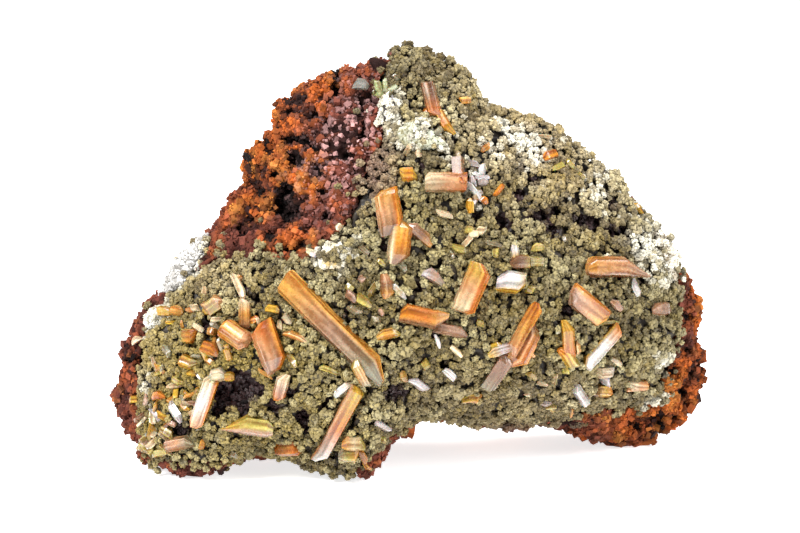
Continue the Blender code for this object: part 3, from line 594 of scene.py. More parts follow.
# %% The crystals
CRYSTALS = {
    "wulfenite_long_blade": (
        grow((-17.1, 24.8), (-3.5, 11.5), 3.6, 2.4, (0.3, 2.4), (HONEY, PINK_BROWN, GREY_GREEN),
             (HONEY, -1), (0.85, 0.35), 0.25),
        grow((-7.7, 13.9), (-5.8, 10.4), 1.4, 1.4, (0.6, 0.6), (OLIVE_GOLD, HONEY, GREY_GREEN))),
    "wulfenite_long_prism": (
        grow((-7.0, 10.4), (-12.6, 0.3), 2.2, 2.0, (0.5, 2.0), (GOLD, ORANGE, WHITE_FACE),
             (PEACH, 1), (0.6, 0.4)),
        grow((-10.3, 9.2), (-7.9, 11.2), 1.2, 1.2, (0.7, 0.7), (WHITE_FACE, WHITE_FACE, CREAM))),
    "wulfenite_foot_block": (
        grow((-9.2, 2.9), (-6.1, 2.9), 2.2, 2.2, (0.6, 0.6), (HONEY, CREAM, OLIVE_GOLD)),
        grow((-9.6, 1.5), (-6.8, 1.5), 2.4, 2.2, (0.6, 0.6), (GREY_GREEN, OLIVE_GOLD, HONEY))),
    "wulfenite_low_nugget": (
        grow((-18.2, 2.2), (-15.0, 2.4), 2.3, 2.0, (0.9, 0.3), (AMBER, HONEY, ORANGE)),),
    "wulfenite_left_block": (
        grow((-20.1, 18.9), (-18.0, 12.8), 3.4, 2.6, (0.8, 1.2), (ORANGE, PEACH, PINK_BROWN),
             (AMBER, -1), (0.7, 0.6), 0.2),),
    "wulfenite_left_stub": (
        grow((-25.2, 18.6), (-22.1, 16.4), 2.8, 2.4, (0.5, 0.4), (AMBER, HONEY, PEACH),
             None, (0.75, 0.75)),
        grow((-22.3, 22.3), (-22.3, 18.2), 1.6, 1.8, (0.5, 0.5), (CREAM, HONEY, BROWN))),
    "wulfenite_thin_spear": (
        grow((-17.0, 17.9), (-13.4, 16.5), 1.1, 1.2, (0.8, 1.4), (HONEY, HONEY, CREAM)),),
    "wulfenite_upright_prism": (
        grow((-17.0, 12.2), (-17.9, 8.5), 1.8, 1.6, (0.7, 0.9), (CREAM, PINK_BROWN, ORANGE)),),
    "wulfenite_lens_blade": (
        grow((-25.4, 5.9), (-18.5, 5.0), 2.7, 1.8, (3.2, 0.8), (GOLD, OLIVE_GOLD, OLIVE_GOLD),
             (PINK_BROWN, 1), (0.08, 0.6)),),
    "wulfenite_bead": (
        grow((-4.6, 17.3), (-1.4, 18.0), 1.5, 1.4, (0.9, 0.9), (GOLD, HONEY, OLIVE_GOLD)),),
    "wulfenite_centre_blade": (
        grow((-1.3, 20.6), (5.0, 19.1), 2.7, 2.0, (0.6, 1.6), (AMBER, ORANGE, HONEY),
             (BROWN, 1), (0.6, 0.3)),
        grow((3.2, 18.6), (7.7, 17.6), 1.6, 1.4, (0.7, 1.0), (BROWN, PINK_BROWN, BROWN))),
    "wulfenite_brown_prism": (
        grow((-3.3, 25.8), (-3.0, 22.4), 1.9, 1.6, (1.2, 0.6), (PEACH, BROWN, HONEY)),
        grow((-2.6, 24.4), (-0.5, 22.4), 0.9, 1.0, (0.5, 0.7), (WHITE_FACE, CREAM, WHITE_FACE))),
    "wulfenite_twin_blades": (
        grow((-3.4, 37.0), (-2.4, 31.2), 3.1, 2.2, (0.7, 0.9), (HONEY, PEACH, BROWN),
             (AMBER, -1), (0.75, 0.5), 0.15),
        grow((-1.1, 32.8), (-1.8, 27.0), 3.0, 2.0, (0.7, 1.2), (HONEY, AMBER, BROWN),
             (CREAM, 1), (0.6, 0.35)),
        grow((-0.2, 32.4), (3.0, 29.6), 1.6, 1.4, (0.7, 1.3), (PINK_BROWN, BROWN, HONEY))),
    "wulfenite_wedge": (
        grow((1.9, 26.2), (5.0, 24.4), 1.6, 1.4, (0.6, 1.8), (LILAC, PINK_BROWN, GREY_GREEN)),),
    "wulfenite_large_prism": (
        grow((9.6, 27.0), (6.9, 20.6), 3.2, 2.8, (1.0, 0.4), (GOLD, PEACH, CREAM),
             (ORANGE, -1), (0.55, 0.8), 0.1),),
    "wulfenite_peach_prism": (
        grow((2.0, 38.1), (7.7, 38.1), 2.8, 2.4, (0.5, 0.5), (CREAM, PEACH, ORANGE),
             None, (0.75, 0.75)),
        grow((6.3, 41.4), (6.6, 37.9), 1.8, 1.6, (0.5, 0.5), (BROWN, BROWN, ORANGE))),
    "wulfenite_yellow_cube": (
        grow((-1.4, 39.0), (0.9, 39.0), 2.0, 1.8, (0.4, 0.6), (GOLD, AMBER, GOLD)),),
    "wulfenite_upper_trio": (
        grow((13.6, 27.4), (16.1, 27.4), 1.9, 1.6, (0.5, 0.4), (BROWN, BROWN, OLIVE_GOLD)),
        grow((15.5, 27.4), (18.1, 27.4), 1.5, 1.5, (0.4, 0.5), (GREY_GREEN, OLIVE_GOLD, GREY_GREEN)),
        grow((13.9, 30.1), (14.4, 27.5), 1.1, 1.2, (0.8, 0.4), (WHITE_FACE, WHITE_FACE, GOLD))),
    "pale_round_crystal": (
        grow((11.7, 24.8), (15.5, 24.2), 3.1, 2.2, (1.1, 1.0), (LILAC, WHITE_FACE, CREAM),
             (GOLD, 1), (0.62, 0.58)),),
    "wulfenite_crossed_blades": (
        grow((17.3, 21.6), (13.4, 14.9), 1.9, 1.8, (0.6, 1.0), (AMBER, HONEY, PEACH)),
        grow((16.9, 19.2), (13.8, 13.1), 3.2, 2.2, (1.6, 1.2), (BROWN, AMBER, AMBER),
             (HONEY, 1)),
        grow((10.5, 14.9), (14.0, 16.0), 1.4, 1.6, (0.7, 0.4), (GOLD, LILAC, PINK_BROWN)),
        grow((13.2, 14.6), (10.0, 9.9), 2.2, 1.8, (0.5, 1.0), (PINK_BROWN, BROWN, GREY_GREEN))),
    "wulfenite_right_spear": (
        grow((23.9, 26.7), (32.4, 26.5), 2.8, 2.2, (0.7, 4.5), (HONEY, PEACH, PINK_BROWN),
             (BROWN, 1), (0.55, 0.1)),),
    "wulfenite_right_prism": (
        grow((21.7, 23.2), (26.3, 19.4), 3.0, 2.4, (0.8, 1.0), (PINK_BROWN, PEACH, HONEY),
             (AMBER, -1), (0.6, 0.45), 0.15),),
    "wulfenite_bicoloured_blade": (
        grow((28.4, 18.6), (23.6, 13.2), 2.1, 1.8, (0.9, 0.9), (AMBER, WHITE_FACE, WHITE_FACE),
             (GOLD, 1), (0.3, 0.6)),),
    "wulfenite_paired_spears": (
        grow((21.2, 19.4), (21.5, 14.6), 1.8, 1.7, (1.2, 0.8), (GOLD, HONEY, ORANGE)),
        grow((20.5, 15.8), (22.2, 13.0), 1.8, 1.6, (0.9, 0.8), (AMBER, GOLD, OLIVE_GOLD))),
    "wulfenite_pale_stub": (
        grow((25.0, 12.3), (27.6, 12.5), 1.7, 1.6, (0.6, 0.8), (CREAM, CREAM, WHITE_FACE)),),
    "wulfenite_olive_stub": (
        grow((24.7, 9.9), (27.2, 9.9), 1.8, 1.6, (0.6, 0.6), (BROWN, GOLD, AMBER)),),
    "calcite_prism": (
        grow((22.3, 10.4), (23.7, 8.2), 1.4, 1.3, (0.3, 0.3), (WHITE_FACE, LILAC, WHITE_FACE)),),
    "wulfenite_yellow_nugget": (
        grow((7.0, 9.0), (9.6, 8.9), 1.6, 1.6, (0.7, 0.7), (GOLD, GOLD, HONEY)),),
    "wulfenite_right_nugget": (
        grow((29.4, 10.6), (32.2, 10.6), 1.5, 1.6, (0.8, 0.8), (CREAM, PEACH, HONEY)),),
    "wulfenite_top_column": (
        grow((2.2, 51.7), (3.4, 47.0), 2.0, 1.6, (0.6, 0.5), (BROWN, BROWN, ORANGE)),
        grow((3.6, 48.0), (5.6, 44.4), 1.4, 1.4, (0.6, 1.4), (GOLD, AMBER, GOLD))),
    "wulfenite_left_cube": (
        grow((-27.7, 20.7), (-25.4, 22.3), 2.5, 2.0, (0.6, 0.6), (PEACH, OLIVE_GOLD, PEACH)),),
    "wulfenite_shoulder_cube": (
        grow((-31.0, 17.3), (-28.8, 17.3), 2.0, 1.8, (0.6, 0.6), (OLIVE_GOLD, HONEY, AMBER)),),
    "wulfenite_yellow_block": (
        grow((-31.2, 14.2), (-28.8, 13.2), 1.9, 1.8, (0.5, 0.8), (HONEY, GOLD, OLIVE_GOLD)),),
    "wulfenite_striped_prism": (
        grow((-26.7, 11.9), (-29.0, 5.0), 2.2, 2.0, (0.6, 0.8), (CREAM, WHITE_FACE, PEACH),
             (AMBER, -1), (0.7, 0.5)),
        grow((-27.1, 11.9), (-24.7, 12.4), 1.8, 1.6, (0.6, 0.7), (GREY_GREEN, CREAM, GREY_GREEN))),
    "calcite_left_shard": (
        grow((-32.6, 8.4), (-30.8, 5.7), 1.2, 1.2, (0.8, 0.8), (LILAC, WHITE_FACE, LILAC)),),
    "wulfenite_corner_block": (
        grow((-33.2, 2.4), (-29.4, 3.2), 1.9, 1.8, (0.7, 0.7), (PINK_BROWN, PEACH, GREY_GREEN)),),
}

for number, (name, members) in enumerate(CRYSTALS.items()):
    tree = search_tree(name)
    parts = []
    for index, member in enumerate(members):
        start, end = middle_line(tree, member)
        points, faces, tint = crystal_surface(start, end, member, number * 7 + index)
        parts.append((points, facing_out(points, faces), tint))
    points, faces, tint = joined(parts)
    crisp(mesh_piece(f"{name}_crystal", points, faces, wulfenite, [name], tint))

# %% [markdown]
# ## Small crystals
# Between the large crystals are many small ones: yellow and orange blocks and thin white shards,
# 1 to 3 mm long. They are made the same way with fewer points, stand on the crust where they are
# seen, and are joined into one piece for each mineral.

# %% Small crystals
# Ends and width in photograph pixels (0.135 mm each at the sight plane), then the tones.
PIXEL = 0.135


def from_pixels(x, y):
    """The place (u, v) that is seen at a pixel of the 800 by 533 frame."""
    return np.array(((x - 410) * PIXEL, (464 - y) * PIXEL))


SMALL_CRYSTALS = {
    "calcite": (
        ((233, 274), (244, 297), 8, CREAM), ((466, 181), (482, 200), 6, WHITE_FACE),
        ((631, 279), (639, 296), 8, WHITE_FACE), ((435, 334), (440, 348), 4, WHITE_FACE),
        ((444, 369), (455, 379), 8, WHITE_FACE), ((410, 378), (427, 390), 9, LILAC),
        ((151, 408), (160, 420), 7, LILAC), ((192, 324), (203, 331), 6, CREAM),
        ((612, 358), (621, 365), 6, CREAM), ((376, 422), (390, 430), 7, LILAC),
        ((354, 83), (369, 84), 12, GREY_FACE), ((376, 80), (380, 94), 7, PALE_GREEN),
        ((384, 78), (386, 90), 6, PALE_GREEN), ((372, 92), (384, 97), 6, PALE_GREEN),
    ),
    "wulfenite_yellow": (
        ((319, 366), (337, 372), 6, OLIVE_GOLD), ((480, 196), (488, 203), 7, AMBER),
        ((157, 311), (170, 310), 11, GOLD), ((170, 309), (183, 311), 10, HONEY),
        ((202, 346), (218, 351), 13, AMBER), ((207, 359), (213, 364), 7, HONEY),
        ((138, 446), (150, 447), 9, OLIVE_GOLD), ((152, 454), (166, 451), 8, OLIVE_GOLD),
        ((140, 437), (152, 450), 8, PINK_BROWN), ((470, 198), (470, 213), 8, GOLD),
        ((465, 229), (475, 230), 8, OLIVE_GOLD), ((476, 230), (486, 231), 8, CREAM),
        ((452, 247), (466, 250), 8, OLIVE_GOLD), ((224, 377), (234, 376), 9, GOLD),
        ((151, 396), (164, 394), 9, AMBER), ((129, 399), (139, 399), 8, GOLD),
        ((159, 431), (167, 438), 7, CREAM), ((181, 403), (188, 411), 6, GOLD),
        ((265, 307), (279, 309), 8, GOLD), ((203, 308), (208, 315), 6, GOLD),
        ((532, 247), (543, 247), 8, OLIVE_GOLD), ((487, 350), (501, 343), 8, GOLD),
        ((545, 406), (556, 405), 7, OLIVE_GOLD), ((634, 203), (640, 214), 8, GOLD),
        ((543, 157), (556, 152), 9, AMBER), ((600, 323), (619, 321), 5, OLIVE_GOLD),
        ((612, 299), (621, 311), 8, PINK_BROWN), ((345, 292), (356, 300), 9, PINK_BROWN),
        ((356, 296), (372, 305), 10, OLIVE_GOLD), ((348, 306), (360, 314), 8, GREY_GREEN),
        ((652, 309), (670, 308), 13, PINK_BROWN), ((627, 388), (645, 386), 8, PEACH),
        ((566, 160), (574, 168), 6, OLIVE_GOLD), ((424, 108), (432, 116), 7, AMBER),
        ((436, 212), (452, 216), 7, CREAM), ((287, 352), (296, 366), 7, OLIVE_GOLD),
        ((247, 322), (258, 318), 7, AMBER), ((171, 378), (182, 384), 7, OLIVE_GOLD),
        ((196, 372), (204, 381), 6, GREY_GREEN), ((163, 345), (170, 356), 7, GREY_GREEN),
        ((527, 372), (536, 378), 6, OLIVE_GOLD), ((398, 262), (406, 270), 6, GREY_GREEN),
    ),
}


def stand_on_rock(first, last, width, tone, random):
    """A small crystal on the rock: the two ends are where the lines of sight meet the surface,
    raised so that half of the crystal stands above the druse."""
    half = width * PIXEL / 2
    ends = []
    for pixel in (first, last):
        place = from_pixels(*pixel)
        foot = seen(ground_tree, *place)
        if foot is None:
            print("no rock is seen at", pixel)
            foot = np.array(ground_tree.find_nearest(FOOT + place[0] * RIGHT + place[1] * UP)[0])
        ends.append(foot - sight(*place) * (0.55 + half * 0.9))
    length = np.linalg.norm(ends[1] - ends[0])
    tones = tuple(np.clip(tone * random.uniform(0.8, 1.2), 0, 1) for _ in range(3))
    tips = (length * random.uniform(0.15, 0.35), length * random.uniform(0.15, 0.4))
    data = grow(first, last, half * 2, half * 1.7, tips, tones,
                ends=tuple(random.uniform(0.3, 0.7, 2)), slant=random.uniform(-0.3, 0.3))
    return ends[0], ends[1], data


SIDE_POINTS = 4
LONG_STEPS = 8
random = np.random.default_rng(19)
small_lines = []
for slot, group in SMALL_CRYSTALS.items():
    parts = []
    for number, (first, last, width, tone) in enumerate(group):
        start, end, data = stand_on_rock(first, last, width, tone, random)
        points, faces, tint = crystal_surface(start, end, data, 300 + number)
        parts.append((points, facing_out(points, faces), tint))
        small_lines.append((start, end, width * PIXEL / 2))
    points, faces, tint = joined(parts)
    crisp(mesh_piece(f"small_{slot}_crystals", points, faces, wulfenite, (), tint))

# %% [markdown]
# ## A sprinkle of tiny crystals
# The lower left is crowded with yellow and pale crystals only a millimetre or two long, too many
# to place one by one. They are strewn at random where the real ones are dense: random places are
# drawn round the middle of each crowd, and each crystal gets a random turn, size and tone.

# %% Tiny crystals
# Middle and spread of each crowd, how many crystals, and their tones.
CROWDS = (
    ((-29, 12), (4.5, 6.0), 70, (OLIVE_GOLD, GOLD, CREAM, GREY_GREEN, HONEY)),
    ((-34, 5), (2.6, 2.6), 34, (OLIVE_GOLD, PINK_BROWN, CREAM, GOLD)),
    ((-24, 19), (4.5, 3.5), 20, (HONEY, AMBER, GREY_GREEN, CREAM)),
    ((-7.5, 3.4), (1.8, 1.8), 10, (OLIVE_GOLD, GREY_GREEN, HONEY)),
    ((-6, 23), (2.5, 3.0), 10, (PINK_BROWN, OLIVE_GOLD, GREY_GREEN)),
    ((15, 30), (6, 3), 10, (OLIVE_GOLD, CREAM, GREY_GREEN)),
    ((22, 14), (4, 4), 12, (OLIVE_GOLD, HONEY, CREAM, LILAC)),
    ((5, 42), (4, 4), 10, (GREY_GREEN, CREAM, HONEY)),
    ((19, 41), (6, 2.5), 10, (OLIVE_GOLD, CREAM, AMBER)),
    ((8, 15), (7, 4), 8, (OLIVE_GOLD, CREAM, GREY_GREEN)),
    ((8.6, 38.0), (0.9, 2.2), 16, (WHITE_FACE, LILAC, CREAM)),
    ((-3.4, 51.2), (1.0, 1.2), 10, (PALE_GREEN, GREY_GREEN)),
    ((-10.0, 29.0), (2.2, 2.2), 10, (WHITE_FACE, LILAC, CREAM)),
)


def tiny_crystal(middle, tones, random):
    """The two ends and the data of one tiny crystal that leans out of the druse."""
    foot = seen(ground_tree, *middle)
    if foot is None or pressed(foot[None], CRUST_HOLLOWS, crust_tree)[0] > 0.3:
        return None
    if distances(crust_tree, foot[None])[0] > 1.2:
        return None
    lean = random.normal(0, 1, 3)
    lean = lean - (lean @ NEAR) * NEAR * 0.6
    lean = lean / np.linalg.norm(lean)
    length = random.uniform(0.9, 2.1)
    centre = foot + NEAR * random.uniform(0.5, 1.0)
    width = random.uniform(0.5, 1.1)
    tone = tones[random.integers(len(tones))]
    shades = tuple(np.clip(tone * random.uniform(0.75, 1.25), 0, 1) for _ in range(3))
    tips = (length * random.uniform(0.1, 0.4), length * random.uniform(0.1, 0.4))
    data = grow(middle, middle, width, width * random.uniform(0.7, 1), tips, shades,
                ends=tuple(random.uniform(0.2, 0.9, 2)), slant=random.uniform(-0.4, 0.4))
    return centre - lean * length / 2, centre + lean * length / 2, data


SIDE_POINTS = 3
LONG_STEPS = 5
random = np.random.default_rng(41)
parts = []
for middle, spread, count, tones in CROWDS:
    for spot in np.array(middle) + random.normal(0, 1, (count, 2)) * spread:
        tiny = tiny_crystal(spot, tones, random)
        if tiny is None or distances(crystal_tree, tiny[0][None])[0] < 0.5:
            continue
        start, end, data = tiny
        points, faces, tint = crystal_surface(start, end, data, 500 + len(parts))
        parts.append((points, facing_out(points, faces), tint))
        small_lines.append((start, end, data["width"] / 2))
points, faces, tint = joined(parts)
print("tiny crystals:", len(parts))
crisp(mesh_piece("tiny_crystals", points, faces, wulfenite, (), tint))

# %% [markdown]
# ## The mimetite druse
# Mimetite coats the face as a cauliflower crust: balls of 1 to 2 mm, each a bundle of tiny
# six-sided crystals whose ends show as grains. The crust's CAD solid gives the base. Balls are
# scattered over its outer surface, and each ball is a low round core with grains on its outward
# half. Grains are a twenty-sided form with few faces, since there are tens of thousands.

# %% Scattering
def scatter(points, triangles, count, random):
    """Random points spread evenly over a surface, with normals and the number of the triangle:
    triangles are drawn by area, and each point is a random mix of its triangle's corners."""
    a, b, c = (points[triangles[:, corner]] for corner in range(3))
    cross = np.cross(b - a, c - a)
    area = np.linalg.norm(cross, axis=1)
    chosen = random.choice(len(triangles), count, p=area / area.sum())
    first = np.sqrt(random.random(count))[:, None]
    second = random.random(count)[:, None]
    spots = a[chosen] * (1 - first) + b[chosen] * first * (1 - second)
    spots = spots + c[chosen] * first * second
    return spots, cross[chosen] / area[chosen][:, None], chosen


def apart(spots, sizes, spacing):
    """Which spots to keep so that none is nearer to one before it than its spacing: kept spots
    are filed by cell, and each new spot looks in the cells round it."""
    width = sizes.max() * spacing
    cells = np.floor(spots / width).astype(int)
    filed = {}
    kept = np.zeros(len(spots), bool)
    steps = [step for step in np.ndindex(3, 3, 3)]
    for index, cell in enumerate(cells.tolist()):
        around = []
        for x, y, z in steps:
            around += filed.get((cell[0] + x - 1, cell[1] + y - 1, cell[2] + z - 1), ())
        if around:
            away = np.linalg.norm(spots[around] - spots[index], axis=1)
            if (away < sizes[index] * spacing).any():
                continue
        kept[index] = True
        filed.setdefault(tuple(cell), []).append(index)
    return kept


def round_form(level):
    """Unit points and triangles of an icosahedron, divided the given number of times."""
    mesh = bmesh.new()
    bmesh.ops.create_icosphere(mesh, subdivisions=level, radius=1)
    points = np.array([vertex.co for vertex in mesh.verts])
    faces = np.array([[vertex.index for vertex in face.verts] for face in mesh.faces])
    mesh.free()
    return points, faces


def sharp_form():
    """Unit points and triangles of an octahedron: the least that still looks like a crystal."""
    points = np.array(((1, 0, 0), (0, 1, 0), (-1, 0, 0), (0, -1, 0), (0, 0, 1), (0, 0, -1)), float)
    faces = np.array(((0, 1, 4), (1, 2, 4), (2, 3, 4), (3, 0, 4),
                      (1, 0, 5), (2, 1, 5), (3, 2, 5), (0, 3, 5)))
    return points, faces


def rubble_form():
    """Unit points and triangles of a cube, which made uneven looks like a broken crumb."""
    points = np.array([(x, y, z) for x in (-1, 1) for y in (-1, 1) for z in (-1, 1)]) * 0.68
    faces = np.array(((0, 1, 3), (0, 3, 2), (4, 7, 5), (4, 6, 7), (0, 5, 1), (0, 4, 5),
                      (2, 3, 7), (2, 7, 6), (0, 2, 6), (0, 6, 4), (1, 7, 3), (1, 5, 7)))
    return points, faces


def turns(count, random):
    """Random rotations as matrices, from unit quaternions."""
    w, x, y, z = (random.normal(size=(4, count)) / 1.0)
    size = np.sqrt(w * w + x * x + y * y + z * z)
    w, x, y, z = w / size, x / size, y / size, z / size
    rows = [[1 - 2 * (y * y + z * z), 2 * (x * y - z * w), 2 * (x * z + y * w)],
            [2 * (x * y + z * w), 1 - 2 * (x * x + z * z), 2 * (y * z - x * w)],
            [2 * (x * z - y * w), 2 * (y * z + x * w), 1 - 2 * (x * x + y * y)]]
    return np.moveaxis(np.array(rows), 2, 0)


def copies(form, middles, sizes, random, stretch=0.25):
    """Copies of a form, each made a little uneven, stretched, turned at random and set at its
    middle."""
    unit, faces = form
    count = len(middles)
    scale = sizes[:, None, None] * (1 + random.uniform(-stretch, stretch, (count, 1, 3)))
    uneven = unit[None] + random.uniform(-0.14, 0.14, (count, len(unit), 3))
    placed = np.einsum("nij,nkj->nki", turns(count, random), uneven * scale)
    placed = placed + middles[:, None]
    joined = faces[None] + (np.arange(count) * len(unit))[:, None, None]
    return placed.reshape(-1, 3), joined.reshape(-1, 3)


def outward_directions(normals, count, random):
    """Directions on the outward half of a ball: an even spiral round its normal, turned and
    shaken at random."""
    steps = (np.arange(count) + 0.5) / count
    height = 1 - steps * 0.95
    angle = steps * count * 2.39996
    ring = np.sqrt(1 - height ** 2)
    spin = random.uniform(0, 2 * math.pi, (len(normals), 1))
    helper = np.where(np.abs(normals[:, :1]) > 0.9, (0.0, 1.0, 0.0), (1.0, 0.0, 0.0))
    side = np.cross(normals, helper)
    side = side / np.linalg.norm(side, axis=1, keepdims=True)
    other = np.cross(normals, side)
    around = (side[:, None] * (ring * np.cos(angle + spin))[..., None]
              + other[:, None] * (ring * np.sin(angle + spin))[..., None]
              + normals[:, None] * height[None, :, None])
    around = around + random.normal(0, 0.14, around.shape)
    return around / np.linalg.norm(around, axis=2, keepdims=True)


# %% Crust base
# The two dark colours below are painted shade: dark brown in the gaps between the balls, dark purple
# in the hollows.
SHADE_OLIVE = linear(78, 64, 38)
GAP_SHADE_BROWN = linear(22, 14, 9)
HOLLOW_SHADE_PURPLE = linear(46, 27, 27)


def crust_swell(points, to_crystal):
    """How far the crust stands out: cauliflower heads of about 5 mm with valleys between them,
    and nothing right beside a crystal."""
    heads = 0.55 - nearest_seed(points, 4.8, seed=61)
    free = np.clip((to_crystal - 0.3) / 1.2, 0, 1)
    return (1.1 * heads + 0.5 * cloud(points, 7, 63, 2)) * free


def in_the_open(points, outward):
    """Whether nothing lies within 1.5 mm of a surface point along its normal."""
    starts = (points + outward * 0.03).tolist()
    hits = [ground_tree.ray_cast(start, direction, 1.5)[0]
            for start, direction in zip(starts, outward.tolist())]
    return np.array([hit is None for hit in hits])


def off_crystals(points):
    """Distance from each point to the nearest crystal, large or small."""
    away = distances(crystal_tree, points)
    for start, end, radius in small_lines:
        run = end - start
        share = np.clip((points - start) @ run / (run @ run), 0, 1)
        gap = np.linalg.norm(points - start - share[:, None] * run, axis=1) - radius
        away = np.minimum(away, gap)
    return away


points, normals, quads = fine_copy("mimetite_crust", 0.32)
crust_hollow = pressed(points, CRUST_HOLLOWS, crust_tree)
lumps = 0.55 - nearest_seed(points, 1.9, seed=31)
crust_relief = 0.8 * lumps + 0.35 * cloud(points, 0.9, 33, 2) - 0.35
swell = crust_swell(points, off_crystals(points))
raised = points + normals * (crust_relief + swell)[:, None] + np.outer(crust_hollow, -NEAR)
raised[:, 2] = np.maximum(raised[:, 2], 0)
# Painted shade: the base is dark brown between the balls, lighter where it stands out, and dark
# purple deeper in the hollows.
tint = blend(GAP_SHADE_BROWN, SHADE_OLIVE, 0.3 + crust_relief * 0.6)
tint = blend(tint, HOLLOW_SHADE_PURPLE, crust_hollow * 1.2)
crust = mesh_piece("mimetite_crust_base", raised, quads, mimetite,
                   ["mimetite_crust"], tint)

# %% Balls of the druse
random = np.random.default_rng(7)
base_points, base_faces = cad_surface("mimetite_crust")
spots, outward, _ = scatter(base_points, base_faces, 34000, random)
sizes = 0.38 + 0.46 * random.random(len(spots)) ** 1.7
sizes = sizes * (1 - 0.15 * hill(place_of(spots), (17, 38), 15, 9))
good = in_the_open(spots, outward)
spots, outward, sizes = spots[good], outward[good], sizes[good]

# A few balls on the calcite patches, in groups.
lump_spots = []
for name in calcite_lumps:
    lump_points, lump_faces = cad_surface(name)
    some, some_outward, _ = scatter(lump_points, lump_faces, 160, random)
    grouped = cloud(some, 2.2, 49, 2) > 0.12
    lump_spots.append(np.hstack((some[grouped], some_outward[grouped])))
lump_spots = np.concatenate(lump_spots)
print("balls tried on the calcite:", len(lump_spots))

# Stray balls on the rusty rock beside the crust, fewer and fewer with the distance from it.
edge_points, edge_faces = cad_surface("limonite_matrix")
stray, stray_outward, _ = scatter(edge_points, edge_faces, 30000, random)
to_crust = distances(crust_tree, stray)
near = random.random(len(stray)) < np.exp(-np.abs(to_crust) / 0.7)
near &= np.abs(place_of(stray)[:, 0]) < 36.2
near[near] = in_the_open(stray[near], stray_outward[near])
spots = np.concatenate((spots, stray[near]))
outward = np.concatenate((outward, stray_outward[near]))
sizes = np.concatenate((sizes, random.uniform(0.3, 0.6, near.sum())))
print("stray balls:", near.sum())

spots = np.concatenate((spots, lump_spots[:, :3]))
outward = np.concatenate((outward, lump_spots[:, 3:]))
sizes = np.concatenate((sizes, random.uniform(0.36, 0.56, len(lump_spots))))

to_crystal = off_crystals(spots)
to_calcite = distances(calcite_tree, spots)
depth = pressed(spots, CRUST_HOLLOWS, crust_tree)
sizes = np.where(to_crystal < 1.0, np.minimum(sizes, 0.52), sizes)
kept = (to_crystal > sizes * 0.2) & (to_calcite > -0.5)
kept &= (depth < 0.9) | (random.random(len(spots)) < 0.65)
kept &= spots[:, 2] > 0.9
kept &= (cloud(spots, 1.5, 95, 2) > -0.4) | (to_crystal < 1.0)
kept[kept] = apart(spots[kept], sizes[kept], 1.0)
spots, outward, sizes, depth = spots[kept], outward[kept], sizes[kept], depth[kept]
to_crystal, to_calcite = to_crystal[kept], to_calcite[kept]
swell = crust_swell(spots, to_crystal)
lift = random.uniform(-0.1, 0.75, len(spots))
# Balls right beside a large crystal climb its sides, so that it looks grown in.
beside = distances(crystal_tree, spots) < 0.9
lift = np.where(beside, random.uniform(0.2, 1.7, len(spots)),
                np.where(to_crystal < 0.8, lift * 0.5 - 0.1, lift))
middles = spots + outward * (sizes * lift + swell)[:, None] + np.outer(depth, -NEAR)
middles[:, 2] = np.maximum(middles[:, 2], sizes * 1.6)
print("balls of the druse:", len(spots))

# %% Colours of the druse
OLIVE = linear(140, 124, 84)
PALE_OLIVE = linear(194, 182, 142)
YELLOW_GREEN = linear(160, 138, 70)
FROST = linear(220, 216, 200)
MAUVE = linear(122, 92, 84)
# White frosting: place, widths, turn and strength.
FROSTED = (
    ((17.0, 42.5), 6.0, 2.6, -32, 0.55), ((9.0, 38.2), 1.6, 3.0, 0, 0.7),
    ((11.0, 43.0), 1.4, 2.2, 0, 0.6), ((32.0, 29.5), 2.4, 5.0, 28, 0.6),
    ((1.4, 43.6), 3.6, 2.2, 0, 0.5), ((33.8, 10.0), 1.4, 2.6, 0, 0.6),
    ((-36.4, 19.6), 1.6, 1.6, 0, 0.6), ((-36.0, 12.0), 1.2, 1.6, 0, 0.5),
    ((23.0, 38.0), 4.0, 2.4, -35, 0.6), ((34.2, 12.4), 1.0, 2.0, 10, 1.0),
    ((33.0, 9.0), 1.0, 1.8, -30, 1.0), ((20.5, 40.0), 2.0, 1.6, 0, 0.8),
    ((13.0, 44.5), 2.4, 1.4, -30, 0.8),
)


